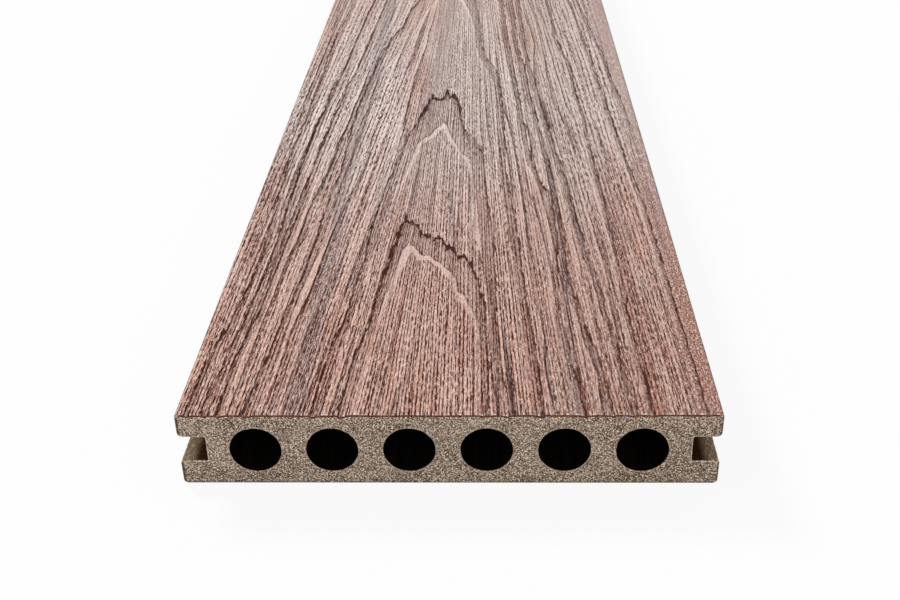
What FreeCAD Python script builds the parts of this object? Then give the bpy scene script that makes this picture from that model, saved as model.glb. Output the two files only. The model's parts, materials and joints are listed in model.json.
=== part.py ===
"""A hollow wood-plastic decking board with a clip groove along each side.

The board is one extruded length of stock. It lies face up: X runs across its width, Y along
its length and Z up through its thickness. The origin is the middle of the underside.
"""
import FreeCAD
import Part
import Sketcher
import math
import os

# Driving sizes in millimetres. The die sets the section, and the saw sets the length.
SIZES = {
    "board_length": 2200.0,
    "board_width": 140.0,
    "lower_lip_height": 7.3,
    "groove_height": 7.5,
    "upper_lip_height": 7.2,
    "groove_depth": 7.2,
    "wall_over_chambers": 4.55,
    "wall_under_chambers": 4.15,
    "web_between_chambers": 6.7,
    "least_side_wall": 4.5,
    "top_edge_radius": 0.9,
    "underside_edge_radius": 1.2,
    "upper_lip_radius": 1.4,
    "lower_lip_radius": 0.8,
    "groove_root_radius": 0.5,
}

# What follows from the driving sizes, as expressions on the sheet's cells
GROOVE_TOP = "(sizes.lower_lip_height + sizes.groove_height)"
THICKNESS = f"({GROOVE_TOP} + sizes.upper_lip_height)"
CHAMBER_DIAMETER = f"({THICKNESS} - sizes.wall_over_chambers - sizes.wall_under_chambers)"
CHAMBER_PITCH = f"({CHAMBER_DIAMETER} + sizes.web_between_chambers)"
CHAMBER_COUNT = (
    "floor((sizes.board_width - 2 * sizes.groove_depth - 2 * sizes.least_side_wall"
    f" + sizes.web_between_chambers) / {CHAMBER_PITCH})"
)

# How close, in millimetres, an edge lies to the place where it is looked for
SAME_PLACE = 0.001


def make_sheet(doc):
    """Put each driving size in a cell that carries its name."""
    sheet = doc.addObject("Spreadsheet::Sheet", "sizes")
    for row, (name, value) in enumerate(SIZES.items(), start=1):
        sheet.set(f"A{row}", name.replace("_", " "))
        sheet.set(f"B{row}", str(value))
        sheet.setAlias(f"B{row}", name)
    doc.recompute()
    return sheet


def origin_feature(body, role):
    """The body's own origin plane or axis with this role."""
    return next(item for item in body.Origin.OriginFeatures if item.Role == role)


def section_sketch(body, name):
    """An empty sketch across the board: its x is the board's X and its y is the board's Z."""
    sketch = body.newObject("Sketcher::SketchObject", name)
    sketch.AttachmentSupport = (origin_feature(body, "XZ_Plane"), [""])
    sketch.MapMode = "FlatFace"
    return sketch


def add_size(sketch, name, expression, constraint):
    """Add a dimension to a sketch, name it and bind it to the sheet."""
    index = sketch.addConstraint(constraint)
    sketch.renameConstraint(index, name)
    sketch.setExpression(f"Constraints.{name}", expression)


def add_rectangle(sketch, left, bottom, right, top):
    """Four joined edges, level and upright: the bottom, right, top and left of a rectangle."""
    corners = [
        FreeCAD.Vector(left, bottom, 0),
        FreeCAD.Vector(right, bottom, 0),
        FreeCAD.Vector(right, top, 0),
        FreeCAD.Vector(left, top, 0),
    ]
    edges = [
        sketch.addGeometry(Part.LineSegment(start, end))
        for start, end in zip(corners, corners[1:] + corners[:1])
    ]
    for edge, following in zip(edges, edges[1:] + edges[:1]):
        sketch.addConstraint(Sketcher.Constraint("Coincident", edge, 2, following, 1))
    for level in edges[0::2]:
        sketch.addConstraint(Sketcher.Constraint("Horizontal", level))
    for upright in edges[1::2]:
        sketch.addConstraint(Sketcher.Constraint("Vertical", upright))
    return edges


def add_blank(body):
    """The plain bar: the board's full width, thickness and length."""
    sketch = section_sketch(body, "bar_section")
    half_width = SIZES["board_width"] / 2
    guess = SIZES["groove_height"]
    bottom, right, _, _ = add_rectangle(sketch, -half_width, 0, half_width, guess)
    # The bottom edge lies on the sketch's x axis, with its ends either side of the origin
    sketch.addConstraint(Sketcher.Constraint("Symmetric", bottom, 1, bottom, 2, -1, 1))
    add_size(sketch, "width", "sizes.board_width",
             Sketcher.Constraint("DistanceX", bottom, 1, bottom, 2, 2 * half_width))
    add_size(sketch, "thickness", THICKNESS,
             Sketcher.Constraint("DistanceY", right, 1, right, 2, guess))

    bar = body.newObject("PartDesign::Pad", "bar")
    bar.Profile = sketch
    bar.SideType = "Symmetric"
    bar.setExpression("Length", "sizes.board_length")
    return bar


def cut_full_length(doc, body, sketch, name):
    """Cut a sketch out of the bar from end to end, and see that it took material away."""
    doc.recompute()
    before = body.Shape.Volume
    cut = body.newObject("PartDesign::Pocket", name)
    cut.Profile = sketch
    cut.SideType = "Symmetric"
    cut.Type = "ThroughAll"
    doc.recompute()
    if body.Shape.Volume >= before:
        raise RuntimeError(f"{name} cut nothing")
    return cut


def add_grooves(doc, body):
    """The groove along the right side that a clip's tongue slides in, and its mirror image."""
    sketch = section_sketch(body, "groove_section")
    outside = SIZES["board_width"] / 2
    root = outside - SIZES["groove_depth"]
    floor = SIZES["lower_lip_height"]
    roof = floor + SIZES["groove_height"]
    bottom, right, _, _ = add_rectangle(sketch, root, floor, outside, roof)
    add_size(sketch, "side", "sizes.board_width / 2",
             Sketcher.Constraint("DistanceX", -1, 1, bottom, 2, outside))
    add_size(sketch, "depth", "sizes.groove_depth",
             Sketcher.Constraint("DistanceX", bottom, 1, bottom, 2, outside - root))
    add_size(sketch, "floor", "sizes.lower_lip_height",
             Sketcher.Constraint("DistanceY", -1, 1, bottom, 2, floor))
    add_size(sketch, "opening", "sizes.groove_height",
             Sketcher.Constraint("DistanceY", right, 1, right, 2, roof - floor))
    groove = cut_full_length(doc, body, sketch, "groove")

    both = body.newObject("PartDesign::Mirrored", "grooves")
    both.Originals = [groove]
    both.MirrorPlane = (origin_feature(body, "YZ_Plane"), [""])
    body.Tip = both


def add_chambers(doc, body):
    """The row of round chambers that makes the board hollow, evenly spaced about the middle."""
    sketch = section_sketch(body, "chamber_section")
    radius = SIZES["groove_height"]
    centre = FreeCAD.Vector(-SIZES["board_width"] / 3, radius + SIZES["wall_under_chambers"], 0)
    circle = sketch.addGeometry(Part.Circle(centre, FreeCAD.Vector(0, 0, 1), radius))
    add_size(sketch, "diameter", CHAMBER_DIAMETER,
             Sketcher.Constraint("Diameter", circle, 2 * radius))
    add_size(sketch, "first_centre", f"({CHAMBER_COUNT} - 1) * {CHAMBER_PITCH} / 2",
             Sketcher.Constraint("DistanceX", circle, 3, -1, 1, -centre.x))
    add_size(sketch, "centre_height", f"sizes.wall_under_chambers + {CHAMBER_DIAMETER} / 2",
             Sketcher.Constraint("DistanceY", -1, 1, circle, 3, centre.y))
    chamber = cut_full_length(doc, body, sketch, "chamber")

    row = body.newObject("PartDesign::LinearPattern", "chambers")
    row.Originals = [chamber]
    row.Direction = (origin_feature(body, "X_Axis"), [""])
    row.Mode = "Spacing"
    row.setExpression("Offset", CHAMBER_PITCH)
    row.setExpression("Occurrences", CHAMBER_COUNT)
    body.Tip = row


def long_edges(shape, places):
    """Names of the edges that run along the board at these (X, Z) places of its section."""
    found = []
    for number, edge in enumerate(shape.Edges, start=1):
        start, end = edge.Vertexes[0].Point, edge.Vertexes[-1].Point
        if abs(start.x - end.x) > SAME_PLACE or abs(start.z - end.z) > SAME_PLACE:
            continue
        if any(math.hypot(start.x - x, start.z - z) < SAME_PLACE for x, z in places):
            found.append(f"Edge{number}")
    return found


def round_edges(doc, body, name, radius, across, height_levels):
    """Round the long edges on both sides, this far across from the middle, at these levels."""
    doc.recompute()
    places = [(side * across, level) for side in (-1, 1) for level in height_levels]
    names = long_edges(body.Shape, places)
    if len(names) != len(places):
        raise RuntimeError(f"{name} found {len(names)} edges for {len(places)} places")
    base = body.Tip
    fillet = body.newObject("PartDesign::Fillet", name)
    fillet.Base = (base, names)
    fillet.setExpression("Radius", radius)
    body.Tip = fillet


def round_section(doc, body):
    """Give each corner of the section the small radius that the die leaves on it."""
    side = SIZES["board_width"] / 2
    root = side - SIZES["groove_depth"]
    floor = SIZES["lower_lip_height"]
    roof = floor + SIZES["groove_height"]
    top = roof + SIZES["upper_lip_height"]
    round_edges(doc, body, "top_edges", "sizes.top_edge_radius", side, [top])
    round_edges(doc, body, "underside_edges", "sizes.underside_edge_radius", side, [0])
    round_edges(doc, body, "upper_lips", "sizes.upper_lip_radius", side, [roof])
    round_edges(doc, body, "lower_lips", "sizes.lower_lip_radius", side, [floor])
    round_edges(doc, body, "groove_roots", "sizes.groove_root_radius", root, [floor, roof])


def make_board(doc):
    """The whole board: a bar, grooved along its sides, bored out and rounded."""
    body = doc.addObject("PartDesign::Body", "board")
    body.Label = "board"
    body.Placement = FreeCAD.Placement(FreeCAD.Vector(0, 0, 0), FreeCAD.Rotation())
    add_blank(body)
    add_grooves(doc, body)
    add_chambers(doc, body)
    round_section(doc, body)
    return body


def check_and_export(doc, bodies):
    """Stop at any failed feature or bad solid, then write one file for each body."""
    doc.recompute()
    for item in doc.Objects:
        if "Invalid" in item.State or "Error" in item.State:
            raise RuntimeError(f"{item.Label} failed: {item.State}")
    for body in bodies:
        if body.Shape.isNull() or not body.Shape.isValid():
            raise RuntimeError(f"{body.Label} has no valid shape")
    os.makedirs("parts", exist_ok=True)
    for body in bodies:
        body.Shape.exportStep(f"parts/{body.Label}.step")
        box = body.Shape.BoundBox
        print(f"{body.Label}: {box.XLength:.2f} x {box.YLength:.2f} x {box.ZLength:.2f} mm,",
              f"{body.Shape.Volume / 1000:.1f} cubic centimetres")


def main():
    """Build the board and write it out."""
    doc = FreeCAD.newDocument("decking_board")
    make_sheet(doc)
    check_and_export(doc, [make_board(doc)])


main()
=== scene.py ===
"""A hollow wood-plastic decking board, sawn square at both ends, lying face up on a pale floor.

The board is one extruded bar. Its face carries a wood grain that an embossing roller pressed
into the coloured skin, and its sawn ends show the plain core, six chambers and two clip grooves.
Patterns and marks are given in millimetres, and what goes into a mesh in metres.
"""

import enum
import json
import logging
import math
from dataclasses import dataclass, field
from typing import Callable, Mapping, Optional, Sequence, Union

import bpy
import numpy as np
from mathutils import Matrix, Vector


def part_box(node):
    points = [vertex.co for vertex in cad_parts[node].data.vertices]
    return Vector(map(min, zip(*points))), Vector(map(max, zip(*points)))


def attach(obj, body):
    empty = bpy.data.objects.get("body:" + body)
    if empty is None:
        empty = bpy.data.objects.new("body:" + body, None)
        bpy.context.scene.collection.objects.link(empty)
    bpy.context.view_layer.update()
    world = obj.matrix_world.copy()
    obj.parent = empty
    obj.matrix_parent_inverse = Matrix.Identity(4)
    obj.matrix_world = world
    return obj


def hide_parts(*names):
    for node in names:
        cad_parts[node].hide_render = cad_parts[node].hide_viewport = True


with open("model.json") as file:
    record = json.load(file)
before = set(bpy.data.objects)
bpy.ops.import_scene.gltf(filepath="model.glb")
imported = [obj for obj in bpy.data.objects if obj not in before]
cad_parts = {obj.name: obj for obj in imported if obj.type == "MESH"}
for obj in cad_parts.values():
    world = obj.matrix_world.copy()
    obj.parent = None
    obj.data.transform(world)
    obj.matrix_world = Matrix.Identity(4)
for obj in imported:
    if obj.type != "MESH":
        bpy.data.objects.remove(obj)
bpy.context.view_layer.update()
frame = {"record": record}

LOG = logging.getLogger("decking_board")

Point = tuple[float, float]
Place = tuple[float, float, float]
Colour = tuple[float, float, float]
Array = np.ndarray

METRES_TO_MM = 1000.0
# How close, in metres, two places are that count as one
WELD_DISTANCE = 2e-6
# The axes' places in a row of coordinates
ACROSS, ALONG, UP = 0, 1, 2


def mm(value: float) -> float:
    """A length in millimetres as metres."""
    return value / METRES_TO_MM


def to_mm(value: float) -> float:
    """A length in metres as millimetres."""
    return value * METRES_TO_MM


def srgb(red: int, green: int, blue: int) -> Colour:
    """A colour as it looks on a screen, from 0 to 255, as the shader's linear light."""
    return tuple(
        c / 12.92 if c <= 0.04045 else ((c + 0.055) / 1.055) ** 2.4
        for c in (red / 255, green / 255, blue / 255)
    )


def smooth(value: Array) -> Array:
    """A soft step: 0 up to 0, 1 from 1 on, with no corner at either."""
    held = np.clip(value, 0, 1)
    return held * held * (3 - 2 * held)


def interpolate(value: Array, line: Sequence[Point]) -> Array:
    """Read a drawn curve, whose points are pairs, at these values."""
    points = np.array(line)
    return np.interp(value, points[:, 0], points[:, 1])


class Finish(enum.IntEnum):
    """The board's finishes, in the order of its material slots."""

    CORE = 0
    FACE = 1
    SKIN_EDGE = 2
    CHAMBER = 3


@dataclass(frozen=True)
class BoardSizes:
    """The board's section and length in metres. Its origin is under its middle."""

    width: float
    length: float
    thickness: float
    chambers: tuple[Place, ...]
    lower_lip: float = mm(7.3)
    groove_height: float = mm(7.5)
    groove_depth: float = mm(7.2)
    top_radius: float = mm(0.9)
    underside_radius: float = mm(1.2)
    upper_lip_radius: float = mm(1.4)
    lower_lip_radius: float = mm(0.8)
    groove_root_radius: float = mm(0.5)
    saw_arris: float = mm(0.2)
    skin: float = mm(0.55)

    @classmethod
    def from_frame(cls, node: str) -> "BoardSizes":
        """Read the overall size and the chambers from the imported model.

        Args:
            node: the name of the board's CAD node.

        Returns:
            The sizes, with each chamber as its centre across, its centre up and its radius.
        """
        low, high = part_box(node)
        bores = [m for m in frame["record"]["mounts"] if m["kind"] == "bore"]
        return cls(
            width=high[ACROSS] - low[ACROSS],
            length=high[ALONG] - low[ALONG],
            thickness=high[UP] - low[UP],
            chambers=tuple((m["pos_m"][0], m["pos_m"][2], mm(m["dims"]["r_mm"])) for m in bores),
        )

    @property
    def side(self) -> float:
        """From the middle to a side."""
        return self.width / 2

    @property
    def end(self) -> float:
        """From the middle to an end."""
        return self.length / 2

    @property
    def groove_root(self) -> float:
        """From the middle to the bottom of a groove."""
        return self.side - self.groove_depth

    @property
    def groove_roof(self) -> float:
        """The height of a groove's upper side."""
        return self.lower_lip + self.groove_height

    @property
    def groove_middle(self) -> float:
        """The height of a groove's middle."""
        return self.lower_lip + self.groove_height / 2

    @property
    def lip_start(self) -> float:
        """A height on the board's side just over the upper lip's round."""
        return self.groove_roof + self.upper_lip_radius + mm(0.3)

    @property
    def round_start(self) -> float:
        """The height at which the round of a top edge meets the board's side."""
        return self.thickness - self.top_radius


class SmoothNoise:
    """Seeded random values on a lattice, with smooth steps between them."""

    def __init__(self, seed: int, cells: int = 256) -> None:
        """Draw the lattice: one value from -1 to 1 for each of its cells."""
        self.cells = cells
        self.values = np.random.default_rng(seed).uniform(-1, 1, (cells, cells))

    def at(self, x: Array, y: Array) -> Array:
        """The noise at these places.

        Args:
            x: places across, in lattice cells.
            y: places along, in lattice cells.

        Returns:
            Values from -1 to 1.
        """
        column, row = np.floor(x).astype(int), np.floor(y).astype(int)
        across, along = smooth(x - column), smooth(y - row)
        corner = [
            self.values[(column + i) % self.cells, (row + j) % self.cells]
            for i in (0, 1)
            for j in (0, 1)
        ]
        near = corner[0] * (1 - along) + corner[1] * along
        far = corner[2] * (1 - along) + corner[3] * along
        return near * (1 - across) + far * across


@dataclass(frozen=True)
class NoiseLayer:
    """One layer of noise: its seed, how strong it is and how large its cells are in millimetres."""

    seed: int
    strength: float
    across: float
    along: float
    shift: float = 0.0

    def at(self, x: Array, y: Array) -> Array:
        """The layer's values at these places, up to its strength either way."""
        noise = SmoothNoise(self.seed)
        return self.strength * noise.at(x / self.across + self.shift, y / self.along)


@dataclass(frozen=True)
class Line:
    """A drawn line of straight runs, one row of coordinates for each of its points."""

    points: Array

    def distance(self, x: Array, y: Array) -> Array:
        """The distance from each place to the line."""
        nearest = np.full(x.shape, np.inf)
        for (x0, y0), (x1, y1) in zip(self.points[:-1], self.points[1:]):
            run_x, run_y = x1 - x0, y1 - y0
            share = ((x - x0) * run_x + (y - y0) * run_y) / (run_x * run_x + run_y * run_y)
            share = np.clip(share, 0, 1)
            gap = (x - x0 - share * run_x) ** 2 + (y - y0 - share * run_y) ** 2
            nearest = np.minimum(nearest, gap)
        return np.sqrt(nearest)

    def encloses(self, x: Array, y: Array) -> Array:
        """Whether each place lies inside the outline that the line makes when it is closed."""
        crossings = np.zeros(x.shape, int)
        for (x0, y0), (x1, y1) in zip(self.points, np.roll(self.points, -1, axis=0)):
            if y0 == y1:
                continue
            between = (y0 > y) != (y1 > y)
            crossings += between & (x < x0 + (y - y0) * (x1 - x0) / (y1 - y0))
        return crossings % 2 == 1

    def depth_inside(self, x: Array, y: Array) -> Array:
        """The distance from each place inside to the line, and less than 0 outside."""
        distance = self.distance(x, y)
        return np.where(self.encloses(x, y), distance, -distance)


@dataclass(frozen=True)
class GrainRing:
    """One growth ring of the embossed grain: a pointed arch whose limbs run on down the board.

    Points are millimetres across from the middle and along from the near end, and those before
    the near end belong to the roller's next turns. Each line goes up the left limb, over the tip
    and down the right limb. The wall is the ring's sharp outer edge, the shoulder its soft inner one.
    """

    seed: int
    wall: tuple[Point, ...]
    shoulder: tuple[Point, ...]
    band_widths: tuple[Point, ...] = ((-1100, 1.5), (-470, 2.0), (-205, 2.6), (0, 3.4))
    usual_vigour: float = 0.82

    def wall_line(self) -> Line:
        """The wall as a line."""
        return Line(np.array(self.wall, float))

    def shoulder_line(self) -> Line:
        """The shoulder with its lower limbs added, a narrowing band inside the wall's own."""
        wall = np.array(self.wall)
        inset = interpolate(wall[:, 1], self.band_widths)
        before = wall[:, 1] < 0
        left = before & (wall[:, 0] < 0)
        right = before & (wall[:, 0] > 0)
        rising = np.column_stack([wall[left, 0] + inset[left], wall[left, 1]])
        falling = np.column_stack([wall[right, 0] - inset[right], wall[right, 1]])
        return Line(np.vstack([rising, np.array(self.shoulder), falling]))

    def vigour(self, x: Array, y: Array) -> Array:
        """How strongly the roller pressed this ring in, about 1."""
        return self.usual_vigour + NoiseLayer(self.seed, 0.35, across=12, along=45).at(x, y)


LOWER_RING = GrainRing(
    seed=20,
    wall=(
        (-68.5, -1100), (-66.5, -900), (-64.5, -720), (-62, -620), (-59.5, -550), (-59, -520),
        (-57, -500), (-56, -470), (-55, -448), (-54, -400), (-52, -350), (-49.6, -300),
        (-48.5, -288), (-46.5, -247), (-44.5, -205), (-42.5, -165), (-38.5, -110), (-33, -50),
        (-28, 1), (-26.5, 22), (-25, 38), (-23.5, 55), (-22, 75), (-21, 90), (-20.5, 94),
        (-19.5, 105), (-18.5, 111), (-17.5, 119), (-16.6, 113.5), (-14.8, 113), (-14, 109),
        (-12.5, 110), (-11, 104), (-9.8, 100.5), (-8.8, 105.5), (-8, 100.6), (-6, 100.5), (-3, 96),
        (-1.6, 92.5), (-0.2, 91), (0.6, 87.2), (1.5, 87.5), (3, 87), (5.5, 82), (6, 78), (8, 68),
        (9.5, 55), (10.5, 40), (10.8, 20), (10.5, 0), (13, -60), (16.5, -130), (19.5, -205),
        (23, -300), (26.5, -385), (30, -410), (32.5, -420), (33, -450), (32, -500), (34.5, -545),
        (38, -620), (41, -690), (43.5, -760), (43, -787), (47, -826), (47.5, -840), (49, -900),
        (50.5, -960), (52, -1100),
    ),
    shoulder=(
        (-24.5, 1), (-23, 25), (-22, 45), (-20, 65), (-17.5, 84), (-16.5, 92), (-15.2, 96.2),
        (-13.5, 94.5), (-12, 91), (-10, 86), (-8, 84.5), (-3, 79), (0, 73), (1.5, 66), (4, 57),
        (6.5, 50), (8, 40), (8.4, 26), (8.3, 0),
    ),
)

MIDDLE_RING = GrainRing(
    seed=21,
    wall=(
        (-69.5, -1100), (-68.5, -900), (-67.5, -720), (-65, -620), (-63.5, -550), (-61, -510),
        (-58.8, -470), (-58.4, -444), (-58.4, -400), (-57.5, -350), (-55, -300), (-52.5, -240),
        (-51, -205), (-48, -150), (-44, -80), (-40, -40), (-35.3, 1), (-34.5, 18), (-32.5, 34),
        (-31, 50), (-30, 70), (-29.3, 81), (-28.5, 90), (-28, 105), (-27, 120), (-26.5, 131),
        (-25.5, 143), (-24, 152), (-23.5, 165), (-23, 170), (-21.5, 178), (-20, 190),
        (-18.3, 197), (-17, 208), (-15.5, 216), (-14.5, 224), (-13, 230), (-12.3, 235.5),
        (-11.6, 231), (-10, 228.5), (-8.5, 229), (-8, 233), (-6.5, 240), (-5.6, 234), (-4.5, 232),
        (-3, 237.5), (-2.4, 231), (-1.5, 230), (-0.5, 225), (0.2, 218), (0.7, 207), (1.5, 198),
        (3, 192), (4.8, 185), (6, 181), (8, 173), (8.8, 169), (10, 145), (11, 126), (12.5, 100),
        (13, 50), (14.5, 20), (16.5, 0), (19, -60), (22, -130), (24.7, -215), (25, -250),
        (28.5, -310), (31.5, -365), (34.5, -415), (35.5, -480), (38, -500), (39, -513),
        (41, -527), (42, -545), (44, -600), (49, -680), (54, -740), (56.5, -781), (57, -800),
        (58, -830), (60, -890), (62, -945), (64.5, -976), (66, -1100),
    ),
    shoulder=(
        (-32, 1), (-30.5, 26), (-29.5, 40), (-28, 65), (-26.5, 85), (-25.5, 95), (-24.5, 105),
        (-23, 120), (-21.5, 140), (-19.5, 151), (-18, 160), (-17, 168), (-16, 177), (-14.5, 182),
        (-11.5, 188), (-10, 196), (-6.5, 203.5), (-5.5, 196), (-4, 186), (-2, 177), (1, 170),
        (3.5, 164), (6, 140), (7.5, 110), (9, 80), (10.5, 50), (12, 20), (13, 0),
    ),
)

UPPER_RING = GrainRing(
    seed=22,
    wall=(
        (-69.8, -1100), (-69.3, -800), (-69, -650), (-67.5, -550), (-66, -520), (-64, -498),
        (-62, -465), (-62.8, -430), (-63.5, -350), (-63, -250), (-61, -210), (-60, -150),
        (-57.5, -80), (-55, -40), (-52.7, 1), (-51.5, 18), (-50, 34), (-48.5, 50), (-47, 70),
        (-46.5, 88), (-45.2, 123), (-44.5, 137), (-43.5, 155), (-43.5, 210), (-43, 225),
        (-42, 240), (-41.2, 252), (-41, 260), (-40.2, 267), (-39.7, 281), (-38.5, 285),
        (-37, 294), (-36.5, 301), (-36, 310), (-35, 316), (-33.5, 321), (-32, 329), (-31, 335),
        (-30.5, 345), (-27, 368), (-22, 392), (-17, 410), (-14, 418), (-13, 424), (-11.5, 419),
        (-10, 426), (-8, 434), (-6, 424), (-4.5, 428), (-3, 417), (0, 405), (2.5, 392),
        (4.5, 375), (6, 355), (7, 335), (8.5, 302), (11, 278), (14, 267), (15.5, 252),
        (16.5, 225), (17.4, 200), (17.6, 152), (20, 110), (21.5, 75), (23, 50), (24.5, 10),
        (26, -60), (27, -130), (28, -210), (28.5, -250), (31, -300), (35, -360), (39, -415),
        (40.5, -440), (42.5, -465), (44, -480), (45.5, -505), (46.5, -535), (48, -600),
        (53, -680), (60, -760), (64, -830), (67, -900), (69, -1100),
    ),
    shoulder=(
        (-49.5, 1), (-47.8, 15), (-45, 75), (-43.5, 85), (-42.5, 95), (-41, 116), (-40, 150),
        (-39.5, 240), (-37.5, 261), (-35, 271), (-33, 281), (-30, 290), (-28, 302), (-26.5, 310),
        (-26, 320), (-25, 327), (-23, 340), (-19, 362), (-15, 380), (-11, 394), (-7, 398),
        (-4, 388), (-1, 372), (2, 350), (4, 330), (5.5, 300), (8, 275), (11.5, 262), (13, 245),
        (14, 200), (14.6, 152), (17, 110), (18.8, 75), (20.5, 50), (21.8, 10),
    ),
)


@dataclass(frozen=True)
class RingTip:
    """The part of a ring that counts as its tip, which widens down the limbs and fades out.

    Attributes:
        middle: its middle across, in millimetres.
        half_width: half its width where the ring's point is.
        start: how far along it starts in full.
        stop: how far along it stops.
        fade: how far before its start it fades in.
        widening: how much its half width grows for each millimetre down the limbs.
        side_reach: how far to either side of that it ends, and over what distance.
        end_reach: how far past its stop it ends, and over what distance.
    """

    middle: float
    half_width: float
    start: float
    stop: float
    fade: float
    widening: float = 0.13
    side_reach: Point = (4.0, 6.0)
    end_reach: Point = (6.0, 4.0)

    def share(self, x: Array, along: Array) -> Array:
        """How far each place belongs to the tip, from 0 to 1."""
        below = np.clip(self.stop - along, 0, self.fade + self.stop - self.start)
        wide = self.half_width + self.widening * below
        beside, side_run = self.side_reach
        beyond, end_run = self.end_reach
        across = smooth((wide + beside - np.abs(x - self.middle)) / side_run)
        faded_in = smooth((along - self.start + self.fade) / self.fade)
        return across * (faded_in * smooth((self.stop + beyond - along) / end_run))


@dataclass(frozen=True)
class GrainFields:
    """What the grain does at a set of places, one value for each place.

    Attributes:
        depth: how far the face is pressed in, in millimetres.
        wall_gap: the distance to the nearest ring's sharp edge, less than 0 outside the ring.
        band_gap: the distance into the nearest ring's sunken band, less than 0 outside it.
        tip: 1 around the rings' tips and 0 along their limbs.
    """

    depth: Array
    wall_gap: Array
    band_gap: Array
    tip: Array


@dataclass(frozen=True)
class Fibres:
    """Where the fine grain runs at a set of places, in this turn of the roller and the next.

    Attributes:
        start: each fibre's place across at the start of its turn.
        ridge: a count of the small ridges from the left, which grows by 1 at each one's edge.
        vigour: how strong the ridges are, with the fading from turn to turn in it.
    """

    start: tuple[Array, Array]
    ridge: tuple[Array, Array]
    vigour: tuple[Array, Array]


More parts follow.
